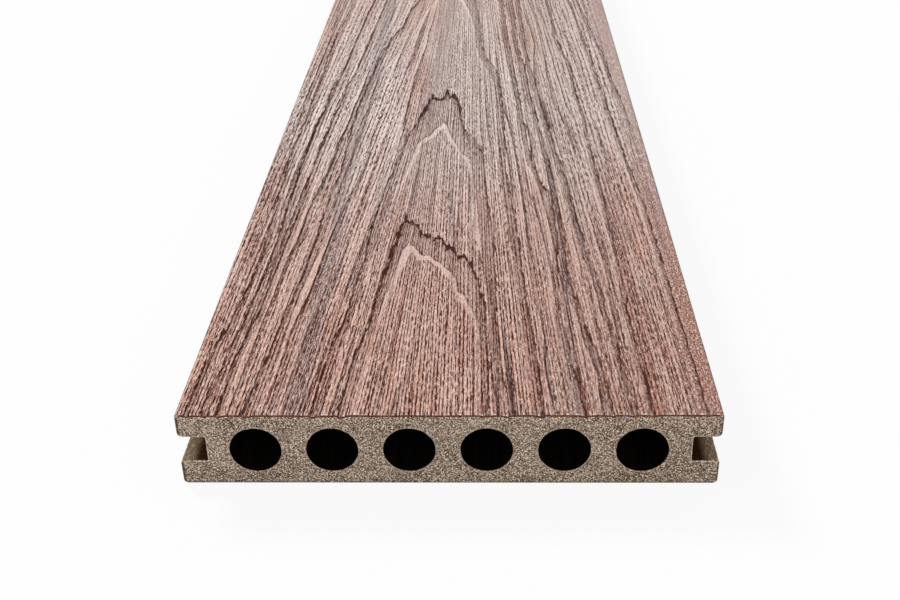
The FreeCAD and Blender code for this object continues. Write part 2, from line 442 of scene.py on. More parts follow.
@dataclass(frozen=True)
class EmbossedGrain:
    """The wood grain that the roller presses into the face, in millimetres.

    The roller's turn repeats it along the board. Places are given as the distance across from
    the board's middle and the distance along from its near end.
    """

    turn: float = 550.0
    turns_seen: int = 3
    rings: tuple[GrainRing, ...] = (LOWER_RING, MIDDLE_RING, UPPER_RING)
    tips: tuple[RingTip, ...] = (
        RingTip(middle=-6.5, half_width=12.5, start=80, stop=121, fade=45),
        RingTip(middle=-7.0, half_width=6.5, start=215, stop=243, fade=85),
        RingTip(middle=-6.0, half_width=8.0, start=400, stop=438, fade=70),
    )

    # The rings' bands: how deep they are, over how far the wall drops and the shoulder rises,
    # and how deep the shoulder's side is beside the wall's
    full_depth: float = 0.72
    wall_run: float = 0.34
    shoulder_run: float = 2.2
    shoulder_share: float = 0.45
    # How far from the rings their distances are told apart, and how wide the stretch beside a
    # wall is where the mesh's columns crowd together
    gap_reach: float = 9.0
    wall_reach: float = 1.1

    # The broken fibres that make the rings' edges uneven, and the face's own unevenness
    chips: NoiseLayer = NoiseLayer(12, 0.3, across=1.6, along=4.5)
    splinters: NoiseLayer = NoiseLayer(12, 0.24, across=0.8, along=1.7, shift=50)
    waves: NoiseLayer = NoiseLayer(13, 0.5, across=9, along=26)
    broken_ends: NoiseLayer = NoiseLayer(11, 2.6, across=0.9, along=22)
    swell: NoiseLayer = NoiseLayer(31, 0.07, across=5, along=60)
    mean_drop: float = 0.07
    # Where the relief ends on the rounded top edges, and over how far it dies away
    relief_stop: float = 70.2
    relief_fade: float = 5.0

    # How steeply the fine grain leans across the board for each millimetre along it
    lean: tuple[Point, ...] = (
        (-70, 0.015), (-60, 0.03), (-50, 0.045), (-40, 0.055), (-30, 0.07), (-22, 0.06),
        (-12, 0.02), (-5, 0.0), (5, -0.01), (15, -0.035), (30, -0.045), (45, -0.05),
        (55, -0.035), (70, -0.01),
    )
    # Over which part of a turn the fine grain fades into the next turn's
    fade_start: float = 0.82
    fade_stop: float = 0.98
    # How many fibres are followed, how far to either side, how far past each end of a turn and
    # in what steps
    fibre_count: int = 361
    fibre_reach: float = 90.0
    overrun: float = 100.0
    stride: float = 5.0

    # How far apart the small ridges are across the board, how strong and how deep
    ridge_pitch: tuple[Point, ...] = (
        (-70, 3.4), (-45, 4.4), (-30, 5.0), (0, 6.0), (20, 4.8), (45, 4.5), (70, 4.2),
    )
    ridge_vigour: tuple[Point, ...] = (
        (-70, 0.1), (-66, 0.6), (-56, 0.85), (-40, 0.95), (-24, 0.35), (4, 0.3), (16, 0.75),
        (30, 0.9), (52, 0.9), (57, 0.25), (70, 0.1),
    )
    ridge_depth: float = 0.15
    # What part of the pitch the drop at a ridge's edge takes, and the rise beyond it
    ridge_drop: float = 0.14
    ridge_rise: Point = (0.1, 0.6)
    # The ridges die away over this distance beside a ring's band
    ridge_clearance: float = 1.5
    ridge_drift: NoiseLayer = NoiseLayer(32, 0.55, across=8, along=80)
    ridge_shake: NoiseLayer = NoiseLayer(32, 0.16, across=2.5, along=20, shift=40)
    ridge_patches: NoiseLayer = NoiseLayer(33, 0.9, across=3.4, along=75)
    ridge_cover: float = 0.55

    def ragged(self, x: Array, y: Array) -> tuple[Array, Array]:
        """Places shifted a little, as the broken fibres make the rings' edges uneven.

        Args:
            x: places across.
            y: places along.

        Returns:
            The shifted places across and along.
        """
        shifted = x + self.chips.at(x, y) + self.waves.at(x, y) + self.splinters.at(x, y)
        return shifted, y + self.broken_ends.at(x, y)

    def pressed(self, to_wall: Array, to_shoulder: Array) -> Array:
        """How far a ring's band is pressed in, sharply at its wall and softly at its shoulder.

        Args:
            to_wall: the distance inside the ring's wall.
            to_shoulder: the distance outside its shoulder.

        Returns:
            The depth as a share of the full one, and 0 outside the band.
        """
        inside = np.minimum(to_wall, to_shoulder) > 0
        soft = smooth(to_shoulder / self.shoulder_run)
        sharp = np.clip(to_wall / self.wall_run, 0, 1)
        near_wall = np.abs(to_shoulder) / (np.abs(to_shoulder) + np.abs(to_wall) + 1e-6)
        tilt = self.shoulder_share + (1 - self.shoulder_share) * near_wall
        return inside * soft * sharp * tilt

    def fields(self, x: Array, y: Array, fibres: Fibres) -> GrainFields:
        """Everything the grain does at these places.

        Args:
            x: places across.
            y: places along.
            fibres: where the fine grain runs there.

        Returns:
            The depth, and where the rings' edges and bands are.
        """
        along = np.mod(y, self.turn)
        ragged_x, ragged_y = self.ragged(x, along)
        sunk = np.zeros(x.shape)
        wall_gap = np.full(x.shape, -np.inf)
        band_gap = np.full(x.shape, -np.inf)
        for ring in self.rings:
            wall, shoulder = ring.wall_line(), ring.shoulder_line()
            for turn in range(self.turns_seen):
                start = turn * self.turn
                to_wall = wall.depth_inside(ragged_x, ragged_y - start)
                to_shoulder = -shoulder.depth_inside(ragged_x, ragged_y - start)
                pressed = self.pressed(to_wall, to_shoulder) * ring.vigour(x, along - start)
                sunk = np.maximum(sunk, pressed)
                nearer = np.abs(to_wall) < np.abs(wall_gap)
                wall_gap = np.where(nearer, to_wall, wall_gap)
                band_gap = np.maximum(band_gap, np.minimum(to_wall, to_shoulder))
        ridges = self.ridge_relief(fibres) * smooth(1 - band_gap / self.ridge_clearance)
        depth = sunk * self.full_depth + ridges + self.swell.at(x, y) + self.mean_drop
        kept = smooth((self.relief_stop - np.abs(x)) / self.relief_fade)
        return GrainFields(
            depth=depth * kept,
            wall_gap=np.clip(wall_gap, -self.gap_reach, self.gap_reach),
            band_gap=np.clip(band_gap, -self.gap_reach, self.gap_reach),
            tip=np.max([tip.share(x, along) for tip in self.tips], axis=0),
        )

    def ridge_relief(self, fibres: Fibres) -> Array:
        """How deep the small ridges' troughs are: a sharp drop, then a slow rise."""
        start, stop = self.ridge_rise
        depth = np.zeros(fibres.start[0].shape)
        for ridge, vigour in zip(fibres.ridge, fibres.vigour):
            past_edge = ridge - np.floor(ridge)
            risen = smooth((past_edge - start) / (stop - start))
            trough = smooth(past_edge / self.ridge_drop) * (1 - risen)
            depth += self.ridge_depth * vigour * trough
        return depth

    def fibres(self, x: Array, y: Array) -> Fibres:
        """Where the fine grain and its small ridges run at these places."""
        place = np.mod(y, self.turn)
        fade = smooth((place / self.turn - self.fade_start) / (self.fade_stop - self.fade_start))
        runs = [(self.streamlines(x, along), along) for along in (place, place - self.turn)]
        shares = (1 - fade, fade)
        return Fibres(
            start=tuple(start for start, _ in runs),
            ridge=tuple(self.ridge_count(start, along) for start, along in runs),
            vigour=tuple(self.ridge_strength(*run) * share for run, share in zip(runs, shares)),
        )

    def ridge_count(self, start: Array, along: Array) -> Array:
        """The count of small ridges from the left at these fibres."""
        samples = 2 * self.fibre_count - 1
        across = np.linspace(-self.fibre_reach, self.fibre_reach, samples)
        steps = np.diff(across) / interpolate(across[1:], self.ridge_pitch)
        count = np.interp(start, across, np.concatenate([[0], np.cumsum(steps)]))
        return count + self.ridge_drift.at(start, along) + self.ridge_shake.at(start, along)

    def ridge_strength(self, start: Array, along: Array) -> Array:
        """How strong the small ridges are at these fibres, from 0 to 1."""
        patchy = smooth(self.ridge_cover + self.ridge_patches.at(start, along))
        return interpolate(start, self.ridge_vigour) * patchy

    def closeness(self, x: Array, y: Array) -> Array:
        """How much the mesh needs columns at each place: high on a ring's wall, else low."""
        nearest = np.full(x.shape, np.inf)
        for ring in self.rings:
            for turn in range(self.turns_seen):
                to_wall = ring.wall_line().distance(x, y - turn * self.turn)
                nearest = np.minimum(nearest, to_wall)
        return np.exp(-(nearest / self.wall_reach) ** 2)

    def streamlines(self, x: Array, y: Array) -> Array:
        """Where the fibre that passes through each place started, at the roller's turn.

        Args:
            x: places across.
            y: places along, which may run past a turn at either end.

        Returns:
            Each fibre's place across at the start of the turn.
        """
        starts = np.linspace(-self.fibre_reach, self.fibre_reach, self.fibre_count)
        heights = np.arange(-self.overrun, self.turn + self.overrun + self.stride, self.stride)
        zero = int(np.argmin(np.abs(heights)))
        paths = np.empty((len(heights), len(starts)))
        paths[zero] = starts
        for row in range(zero + 1, len(heights)):
            last = paths[row - 1]
            paths[row] = last + self.stride * interpolate(last, self.lean)
        for row in range(zero - 1, -1, -1):
            last = paths[row + 1]
            paths[row] = last - self.stride * interpolate(last, self.lean)
        found = np.empty(x.shape)
        index = np.clip((y - heights[0]) / self.stride, 0, len(heights) - 1.001)
        lower = index.astype(int)
        share = index - lower
        for row in np.unique(lower):
            here = lower == row
            below = np.interp(x[here], paths[row], starts)
            above = np.interp(x[here], paths[row + 1], starts)
            found[here] = below * (1 - share[here]) + above * share[here]
        return found


class Bench:
    """Modelling steps on the active mesh, with what they act on chosen by place."""

    @staticmethod
    def clear() -> None:
        """Leave every object deselected, in object mode."""
        if bpy.context.object and bpy.context.object.mode != "OBJECT":
            bpy.ops.object.mode_set(mode="OBJECT")
        bpy.ops.object.select_all(action="DESELECT")

    @staticmethod
    def start(name: str) -> bpy.types.Object:
        """Name the object that was just added, and put its place in its mesh.

        Args:
            name: what the object is called.

        Returns:
            The object, in object mode.
        """
        piece = bpy.context.active_object
        piece.name = piece.data.name = name
        bpy.ops.object.transform_apply(location=True, rotation=True, scale=True)
        return piece

    @classmethod
    def join(cls, pieces: Sequence[bpy.types.Object]) -> bpy.types.Object:
        """Join these objects into the first of them."""
        cls.clear()
        for piece in pieces:
            piece.select_set(True)
        bpy.context.view_layer.objects.active = pieces[0]
        bpy.ops.object.join()
        return bpy.context.active_object

    @staticmethod
    def read(items: Sequence, name: str, kind: type, width: int = 1) -> Array:
        """Read one property of all of a mesh's items.

        Args:
            items: the vertices, edges, faces, loops or an attribute's data.
            name: the property.
            kind: the numbers' type.
            width: how many numbers each item has.

        Returns:
            One row for each item, or one number where the width is 1.
        """
        values = np.empty(len(items) * width, kind)
        items.foreach_get(name, values)
        return values.reshape(-1, width) if width > 1 else values

    @classmethod
    def vertices(cls) -> Array:
        """The places of the active mesh's vertices, one row each."""
        return cls.read(bpy.context.active_object.data.vertices, "co", float, 3)

    @classmethod
    def stored(cls, name: str) -> Array:
        """The values that the active mesh's vertices hold under this name."""
        attribute = bpy.context.active_object.data.attributes[name]
        return cls.read(attribute.data, "value", np.float32).astype(float)

    @staticmethod
    def place(places: Array) -> None:
        """Move the active mesh's vertices to these places, in object mode."""
        mesh = bpy.context.active_object.data
        mesh.vertices.foreach_set("co", np.ascontiguousarray(places, float).ravel())
        mesh.update()

    @classmethod
    def edges(cls) -> Array:
        """The two vertices of each of the active mesh's edges, one row each."""
        return cls.read(bpy.context.active_object.data.edges, "vertices", np.int32, 2)

    @classmethod
    def open_edges(cls) -> Array:
        """Whether each of the active mesh's edges has only one face, or none."""
        mesh = bpy.context.active_object.data
        uses = np.zeros(len(mesh.edges), int)
        np.add.at(uses, cls.read(mesh.loops, "edge_index", np.int32), 1)
        return uses < 2

    @classmethod
    def level(cls, axis: int, level: float) -> Array:
        """Whether each of the active mesh's vertices lies at this level along an axis."""
        return np.abs(cls.vertices()[:, axis] - level) < WELD_DISTANCE

    @staticmethod
    def pick(kind: str, chosen: Array) -> None:
        """Select exactly these vertices, edges or faces, and open the mesh for editing.

        Args:
            kind: "VERT", "EDGE" or "FACE".
            chosen: one flag for each of them.
        """
        bpy.ops.object.mode_set(mode="EDIT")
        bpy.ops.mesh.select_mode(type=kind)
        bpy.ops.mesh.select_all(action="DESELECT")
        bpy.ops.object.mode_set(mode="OBJECT")
        mesh = bpy.context.active_object.data
        items = {"VERT": mesh.vertices, "EDGE": mesh.edges, "FACE": mesh.polygons}[kind]
        items.foreach_set("select", np.asarray(chosen, bool))
        bpy.ops.object.mode_set(mode="EDIT")

    @classmethod
    def pick_edges(cls, vertex_flags: Array, only_open: bool = False) -> None:
        """Select the edges with both vertices flagged, and open the mesh for editing."""
        chosen = vertex_flags[cls.edges()].all(axis=1)
        if only_open:
            chosen &= cls.open_edges()
        cls.pick("EDGE", chosen)

    @staticmethod
    def pick_all() -> None:
        """Select the whole mesh, and open it for editing."""
        bpy.ops.object.mode_set(mode="EDIT")
        bpy.ops.mesh.select_all(action="SELECT")

    @classmethod
    def draw_along(cls, offset: float) -> None:
        """Extrude what is selected along the board, and go back to object mode."""
        bpy.ops.mesh.extrude_region_move(TRANSFORM_OT_translate={"value": (0, offset, 0)})
        cls.done()

    @classmethod
    def extend_end(cls, level: float, new_level: float) -> Array:
        """Draw an open end's edges on to another level along the board.

        Args:
            level: where the end is.
            new_level: where the new row of vertices goes.

        Returns:
            Whether each vertex belongs to the new row.
        """
        cls.pick_edges(cls.level(ALONG, level), only_open=True)
        cls.draw_along(new_level - level)
        return cls.level(ALONG, new_level)

    @staticmethod
    def done() -> None:
        """Go back to object mode."""
        bpy.ops.object.mode_set(mode="OBJECT")


@dataclass
class FaceSheet:
    """The board's embossed face: its top, both top edges' rounds and the skin's sawn edges.

    The mesh's columns crowd together at the rings' walls and follow them along the board, and its
    rows are closest at the near end and at the rings' tips.
    """

    sizes: BoardSizes
    grain: EmbossedGrain
    columns: int = 150
    # How far apart the rows are in millimetres: near the near end, on the rest of the board,
    # at the rings' tips there, and beside the far end
    near_rows: tuple[Point, ...] = (
        (0, 0.85), (76, 0.85), (82, 0.6), (120, 0.6), (126, 1.15), (218, 1.2), (224, 0.65),
        (242, 0.65), (248, 1.8), (400, 2.5),
    )
    far_row: float = 10.5
    tip_row: float = 2.6
    last_row: float = 2.0
    last_rows_length: float = 8.0
    # Samples of the length, and over how many the rows' spacing is evened out
    samples: int = 40001
    evening: int = 100
    # How much closer the columns are at a ring's wall, and on the rounded edges this far in
    crowding: float = 4.2
    edge_crowding: float = 2.2
    edge_inset: float = 0.7
    # The columns' plan: its samples across, how far apart its rows are, and over how many rows
    # it is evened out and how widely
    plan_samples: int = 565
    plan_row: float = 2.0
    plan_spread: int = 12
    plan_width: float = 5.0

    def row_places(self) -> Array:
        """The distance along the board of each row, in millimetres from the near end."""
        arris, length = to_mm(self.sizes.saw_arris), to_mm(self.sizes.length)
        fine = np.linspace(arris, length - arris, self.samples)
        spacing = np.full(fine.shape, self.far_row)
        along = np.mod(fine, self.grain.turn)
        for tip in self.grain.tips:
            spacing[(along > tip.start) & (along < tip.stop)] = self.tip_row
        near = fine < self.near_rows[-1][0]
        spacing[near] = interpolate(fine[near], self.near_rows)
        spacing[fine > length - self.last_rows_length] = self.last_row
        window = np.ones(2 * self.evening + 1) / (2 * self.evening + 1)
        spacing = np.convolve(np.pad(spacing, self.evening, mode="edge"), window, mode="valid")
        count = np.concatenate([[0], np.cumsum(np.diff(fine) / spacing[1:])])
        rows = int(round(count[-1]))
        return np.interp(np.linspace(0, count[-1], rows + 1), count, fine)

    def unrolled_half_width(self) -> float:
        """From the middle, over a top edge's round, to where the side starts, in millimetres."""
        radius = to_mm(self.sizes.top_radius)
        return to_mm(self.sizes.side) - radius + radius * math.pi / 2

    def column_places(self, rows: Array) -> Array:
        """The distance across of each row's columns, over the rounds, in millimetres.

        Args:
            rows: the rows' distances along the board.

        Returns:
            One line of distances for each row.
        """
        half = self.unrolled_half_width()
        across = np.linspace(-half, half, self.plan_samples)
        heights = np.arange(0, self.grain.turn, self.plan_row)
        grid_x, grid_y = np.meshgrid(across, heights)
        need = self.grain.closeness(grid_x.ravel(), grid_y.ravel()).reshape(grid_x.shape)
        spread = np.arange(-self.plan_spread, self.plan_spread + 1)
        weights = np.exp(-(spread / self.plan_width) ** 2)
        weights /= weights.sum()
        wrapped = np.vstack([need[-self.plan_spread:], need, need[:self.plan_spread]])
        need = sum(wrapped[i:i + len(heights)] * weight for i, weight in enumerate(weights))
        rounds = np.exp(-(np.abs(across) - half + self.edge_inset) ** 2)
        density = 1 + self.crowding * need + self.edge_crowding * rounds
        index = np.mod(rows, self.grain.turn) / self.plan_row
        lower = np.floor(index).astype(int) % len(heights)
        share = (index - np.floor(index))[:, None]
        row_density = density[lower] * (1 - share) + density[(lower + 1) % len(heights)] * share
        steps = (row_density[:, 1:] + row_density[:, :-1]) / 2
        count = np.concatenate([np.zeros((len(rows), 1)), np.cumsum(steps, axis=1)], axis=1)
        wanted = np.linspace(0, 1, self.columns + 1)
        return np.array([np.interp(wanted, line / line[-1], across) for line in count])

    def wrap(self, across: Array, drop: Array) -> tuple[Array, Array]:
        """Lay places of the unrolled face round the board's top edges.

        Args:
            across: distances across the unrolled face, in millimetres.
            drop: how far each place lies below the surface, in millimetres.

        Returns:
            The places across and up, in metres.
        """
        radius = to_mm(self.sizes.top_radius)
        flat = to_mm(self.sizes.side) - radius
        angle = np.clip((np.abs(across) - flat) / radius, 0, math.pi / 2)
        held = np.minimum(np.abs(across), flat)
        x = np.sign(across) * (held + (radius - drop) * np.sin(angle))
        z = to_mm(self.sizes.thickness) - radius + (radius - drop) * np.cos(angle)
        return mm(x), mm(z)

    def build(self) -> bpy.types.Object:
        """Model the face as a grid, press the grain into it and turn its ends down.

        Returns:
            The face, open along its sides and under its ends.
        """
        rows = self.row_places()
        Bench.clear()
        bpy.ops.mesh.primitive_grid_add(
            x_subdivisions=self.columns, y_subdivisions=len(rows) - 1, size=1
        )
        piece = Bench.start("face")
        unit = Bench.vertices()
        column = np.rint((unit[:, 0] + 0.5) * self.columns).astype(int)
        row = np.rint((unit[:, 1] + 0.5) * (len(rows) - 1)).astype(int)
        across = self.column_places(rows)[row, column]
        along = rows[row]
        fibres = self.grain.fibres(across, along)
        fields = self.grain.fields(across, along, fibres)
        x, z = self.wrap(across, fields.depth)
        Bench.place(np.column_stack([x, mm(along) - self.sizes.end, z]))
        self.keep(piece, across, along, fields, fibres)
        self.turn_down_ends()
        LOG.info("face: %d rows of %d columns", len(rows), self.columns)
        return piece

    def keep(
        self,
        piece: bpy.types.Object,
        across: Array,
        along: Array,
        grain: GrainFields,
        fibres: Fibres,
    ) -> None:
        """Store on the vertices what the sawn ends and the face's finish read.

        Args:
            piece: the face.
            across: its vertices' distances across the unrolled face.
            along: their distances along the board.
            grain: what the grain does there.
            fibres: where the fine grain runs there.
        """
        stored = {
            "wall_gap": grain.wall_gap,
            "band_gap": grain.band_gap,
            "tip": grain.tip,
            "fibre": fibres.start[0],
            "next_fibre": fibres.start[1],
            "ridge": fibres.ridge[0],
            "next_ridge": fibres.ridge[1],
            "vigour": fibres.vigour[0],
            "next_vigour": fibres.vigour[1],
            "turn_place": np.mod(along, self.grain.turn),
            "drop": grain.depth,
            "across": across,
        }
        for name, values in stored.items():
            attribute = piece.data.attributes.new(name, "FLOAT", "POINT")
            attribute.data.foreach_set("value", values.astype(np.float32))

    def turn_down_ends(self) -> None:
        """Add the saw's small arris along both ends, and the skin's thickness below it."""
        sizes = self.sizes
        steps = (
            (sizes.end - sizes.saw_arris, sizes.saw_arris),
            (sizes.end, sizes.saw_arris + sizes.skin),
        )
        for sign in (-1, 1):
            for level, drop in steps:
                # The new row stands clear of the end until it is put in its place
                added = Bench.extend_end(sign * level, sign * (level + mm(5)))
                depth = Bench.stored("drop")[added] + to_mm(drop)
                x, z = self.wrap(Bench.stored("across")[added], depth)
                places = Bench.vertices()
                places[added] = np.column_stack([x, np.full(x.shape, sign * sizes.end), z])
                Bench.place(places)
        LOG.info("face: sawn ends turned down")


@dataclass
class PlainBody:
    """What the die leaves bare: the sides, the clip grooves and the underside."""

    sizes: BoardSizes
    round_segments: int = 5
    # Edges that turn by less than this, in radians, are dissolved
    flat_angle: float = 0.001

    def cut(self, point: Place, normal: Place, clear: bool = False) -> None:
        """Cut the section's face along a plane.

        Args:
            point: a place on the plane.
            normal: the plane's direction.
            clear: whether what lies beyond the plane is taken away.
        """
        Bench.pick_all()
        bpy.ops.mesh.bisect(plane_co=point, plane_no=normal, clear_outer=clear, threshold=1e-7)
        Bench.done()

    def round_corners(self, across: float, heights: Sequence[float], radius: float) -> None:
        """Round the section's corners at this distance either side of the middle."""
        at_side = Bench.level(ACROSS, across) | Bench.level(ACROSS, -across)
        at_height = np.any([Bench.level(UP, height) for height in heights], axis=0)
        Bench.pick("VERT", at_side & at_height)
        bpy.ops.mesh.bevel(
            offset=radius,
            offset_type="OFFSET",
            segments=self.round_segments,
            affect="VERTICES",
            profile=0.5,
        )
        Bench.done()

    def section(self) -> None:
        """Draw the section below the upper lips as one flat outline at the near end."""
        sizes = self.sizes
        Bench.clear()
        bpy.ops.mesh.primitive_plane_add(
            size=1, location=(0, 0, sizes.thickness / 2), rotation=(math.pi / 2, 0, 0)
        )
        bpy.context.active_object.scale = (sizes.width, sizes.thickness, 1)
        Bench.start("plain_body")
        self.cut((0, 0, sizes.lip_start), (0, 0, 1), clear=True)
        for height in (sizes.lower_lip, sizes.groove_roof):
            self.cut((0, 0, height), (0, 0, 1))
        for side in (-sizes.groove_root, sizes.groove_root):
            self.cut((side, 0, 0), (1, 0, 0))
        faces = bpy.context.active_object.data.polygons
        centres = Bench.read(faces, "center", float, 3)
        beside = np.abs(centres[:, ACROSS]) > sizes.groove_root
        level = np.abs(centres[:, UP] - sizes.groove_middle) < sizes.groove_height / 2
        Bench.pick("FACE", beside & level)
        bpy.ops.mesh.delete(type="FACE")
        bpy.ops.mesh.select_all(action="SELECT")
        bpy.ops.mesh.dissolve_limited(angle_limit=self.flat_angle)
        Bench.done()
        corners = (
            (sizes.side, [0], sizes.underside_radius),
            (sizes.side, [sizes.lower_lip], sizes.lower_lip_radius),
            (sizes.side, [sizes.groove_roof], sizes.upper_lip_radius),
            (sizes.groove_root, [sizes.lower_lip, sizes.groove_roof], sizes.groove_root_radius),
        )
        for across, heights, radius in corners:
            self.round_corners(across, heights, radius)

    def build(self) -> bpy.types.Object:
        """Model the bare part of the board as an outline drawn out along its length.

        Returns:
            The body, open at its ends and along the top.
        """
        sizes = self.sizes
        self.section()
        piece = bpy.context.active_object
        Bench.pick("FACE", np.ones(len(piece.data.polygons), bool))
        bpy.ops.mesh.delete(type="ONLY_FACE")
        Bench.done()
        # The outline's top edge goes, because the side walls are filled in later
        Bench.pick_edges(Bench.level(UP, sizes.lip_start))
        bpy.ops.mesh.delete(type="EDGE")
        bpy.ops.mesh.select_all(action="SELECT")
        bpy.ops.transform.translate(value=(0, sizes.saw_arris - sizes.end, 0))
        Bench.draw_along(sizes.length - 2 * sizes.saw_arris)
        Bench.pick_all()
        bpy.ops.mesh.normals_make_consistent(inside=False)
        Bench.done()
        self.add_arrises()
        return piece

    def add_arrises(self) -> None:
        """Draw both ends in a little, as the saw leaves the arris."""
        sizes = self.sizes
        for sign in (-1, 1):
            added = Bench.extend_end(sign * (sizes.end - sizes.saw_arris), sign * sizes.end)
            places = Bench.vertices()
            places[added] = self.drawn_in(places, added)
            Bench.place(places)

    def drawn_in(self, places: Array, added: Array) -> Array:
        """An end row's places, moved into the board by the arris along the section's corners.

        Args:
            places: all the vertices.
            added: which of them are the end row.

        Returns:
            The end row's new places.
        """
        edges = Bench.edges()
        row_edges = edges[added[edges].all(axis=1)]
        normals = np.zeros_like(places)
        for first, second in row_edges:
            run = places[second] - places[first]
            normal = np.array([run[2], 0, -run[0]]) / max(np.hypot(run[0], run[2]), 1e-12)
            middle = (places[first] + places[second]) / 2
            if not self.points_out(middle, normal):
                normal = -normal
            normals[first] += normal
            normals[second] += normal
        length = np.linalg.norm(normals, axis=1, keepdims=True)
        unit = np.divide(normals, length, out=np.zeros_like(normals), where=length > 0)
        # At the open top the side goes on straight up
        top = Bench.level(UP, self.sizes.lip_start)
        unit[top] = 0
        unit[top, ACROSS] = np.sign(places[top, ACROSS])
        return places[added] - unit[added] * self.sizes.saw_arris

    def points_out(self, middle: Array, normal: Array) -> bool:
        """Whether a step along this normal from a place on the outline leaves the section."""
        sizes = self.sizes
        # The step is longer than a rounded corner is deep
        probe = middle + normal * sizes.upper_lip_radius / 2
        across, height = abs(probe[ACROSS]), probe[UP]
        in_bar = across < sizes.side and 0 < height < sizes.thickness
        in_groove = across > sizes.groove_root and sizes.lower_lip < height < sizes.groove_roof
        return not in_bar or in_groove


@dataclass
class Chambers:
    """The round chambers, drawn out from their mouths."""

    sizes: BoardSizes
    segments: int = 56
    mouth: float = mm(0.16)
    wander: float = mm(0.05)
    # How many times a mouth's edge wavers in a radian
    wavering: float = 5.0
    first_seed: int = 41

    def build(self) -> bpy.types.Object:
        """Model them all as open tubes with slightly broken, uneven mouths.

        Returns:
            The tubes, joined.
        """
        sizes = self.sizes
        tubes = []
        for number, (x, z, radius) in enumerate(sizes.chambers):
            Bench.clear()
            bpy.ops.mesh.primitive_circle_add(
                vertices=self.segments,
                radius=radius,
                location=(x, self.mouth - sizes.end, z),
                rotation=(math.pi / 2, 0, 0),
            )
            tubes.append(Bench.start(f"chamber_{number + 1}"))
            Bench.pick_all()
            Bench.draw_along(sizes.length - 2 * self.mouth)
            self.flare(x, z, radius, self.first_seed + number)
        return Bench.join(tubes)

    def flare(self, x: float, z: float, radius: float, seed: int) -> None:
        """Open a tube's two mouths out to the sawn faces, a little unevenly."""
        end = self.sizes.end
        uneven = SmoothNoise(seed)
        for sign in (-1, 1):
            added = Bench.extend_end(sign * (end - self.mouth), sign * end)
            places = Bench.vertices()
            angle = np.arctan2(places[added, UP] - z, places[added, ACROSS] - x)
            ragged = uneven.at(angle * self.wavering + 9, np.full(angle.shape, sign * 3.0))
            grown = radius + self.mouth + self.wander * ragged
            places[added, ACROSS] = x + grown * np.cos(angle)
            places[added, UP] = z + grown * np.sin(angle)
            Bench.place(places)


@dataclass
class DeckingBoard:
    """The whole board as one closed mesh."""

    sizes: BoardSizes
    grain: EmbossedGrain = field(default_factory=EmbossedGrain)
    smooth_angle: float = math.radians(48)

    def build(self) -> bpy.types.Object:
        """Model the face, the body and the chambers, and close them into one solid.

        Returns:
            The finished board.
        """
        parts = [
            FaceSheet(self.sizes, self.grain).build(),
            PlainBody(self.sizes).build(),
            Chambers(self.sizes).build(),
        ]
        board = Bench.join(parts)
        board.name = board.data.name = "decking_board"
        Bench.pick_all()
        bpy.ops.mesh.remove_doubles(threshold=WELD_DISTANCE)
        Bench.done()
        self.close_sides()
        self.close_ends()
        Bench.pick_all()
        bpy.ops.mesh.normals_make_consistent(inside=False)
        Bench.done()
        bpy.ops.object.shade_smooth_by_angle(angle=self.smooth_angle)
        still_open = int(Bench.open_edges().sum())
        LOG.info("board: %d faces, %d open edges", len(board.data.polygons), still_open)
        return board

    def close_sides(self) -> None:
        """Fill each side's flat strip between the face and the upper lip, and its arrises."""
        sizes = self.sizes
        for side in (-1, 1):
            self.fill_strip(Bench.level(ACROSS, side * sizes.side))
            for end in (-1, 1):
                places = Bench.vertices()
                from_side = np.abs(places[:, ACROSS] - side * sizes.side)
                near_end = end * places[:, ALONG] > sizes.end - sizes.saw_arris - WELD_DISTANCE
                self.fill_strip((from_side < sizes.saw_arris * 1.01) & near_end)

    def fill_strip(self, among: Array) -> None:
        """Make one face between the open edges of these vertices above and below a strip."""
        bordering = Bench.level(UP, self.sizes.round_start) | Bench.level(UP, self.sizes.lip_start)
        Bench.pick_edges(among & bordering, only_open=True)
        bpy.ops.mesh.edge_face_add()
        Bench.done()

    def close_ends(self) -> None:
        """Fill both sawn faces, round the chambers' mouths."""
        for sign in (-1, 1):
            Bench.pick_edges(Bench.level(ALONG, sign * self.sizes.end), only_open=True)
            bpy.ops.mesh.fill(use_beauty=True)
            Bench.done()

    def assign(self, board: bpy.types.Object) -> None:
        """Give each face of the mesh its finish, by its place."""
        sizes = self.sizes
        mesh = board.data
        core = CoreFinish(sizes)
        made = {
            Finish.CORE: core.material(),
            Finish.FACE: FaceFinish(sizes, self.grain, core).material(),
            Finish.SKIN_EDGE: SkinEdgeFinish(core).material(),
            Finish.CHAMBER: ChamberFinish().material(),
        }
        for finish in Finish:
            mesh.materials.append(made[finish])
        centres = Bench.read(mesh.polygons, "center", float, 3)
        # The face and the skin's sawn edge are all of quads. The strips along the sides have
        # many corners, and the ends are filled with triangles.
        quad = Bench.read(mesh.polygons, "loop_total", np.int32) == 4
        on_top = centres[:, UP] > sizes.round_start - mm(0.1)
        at_end = np.abs(centres[:, ALONG]) >= sizes.end - mm(0.01)
        finishes = np.full(len(centres), int(Finish.CORE), np.int32)
        finishes[on_top & quad & ~at_end] = Finish.FACE
        finishes[quad & at_end] = Finish.SKIN_EDGE
        for x, z, radius in sizes.chambers:
            away = np.hypot(centres[:, ACROSS] - x, centres[:, UP] - z)
            finishes[(away < radius + mm(0.3)) & ~at_end] = Finish.CHAMBER
        mesh.polygons.foreach_set("material_index", finishes)
        mesh.update()


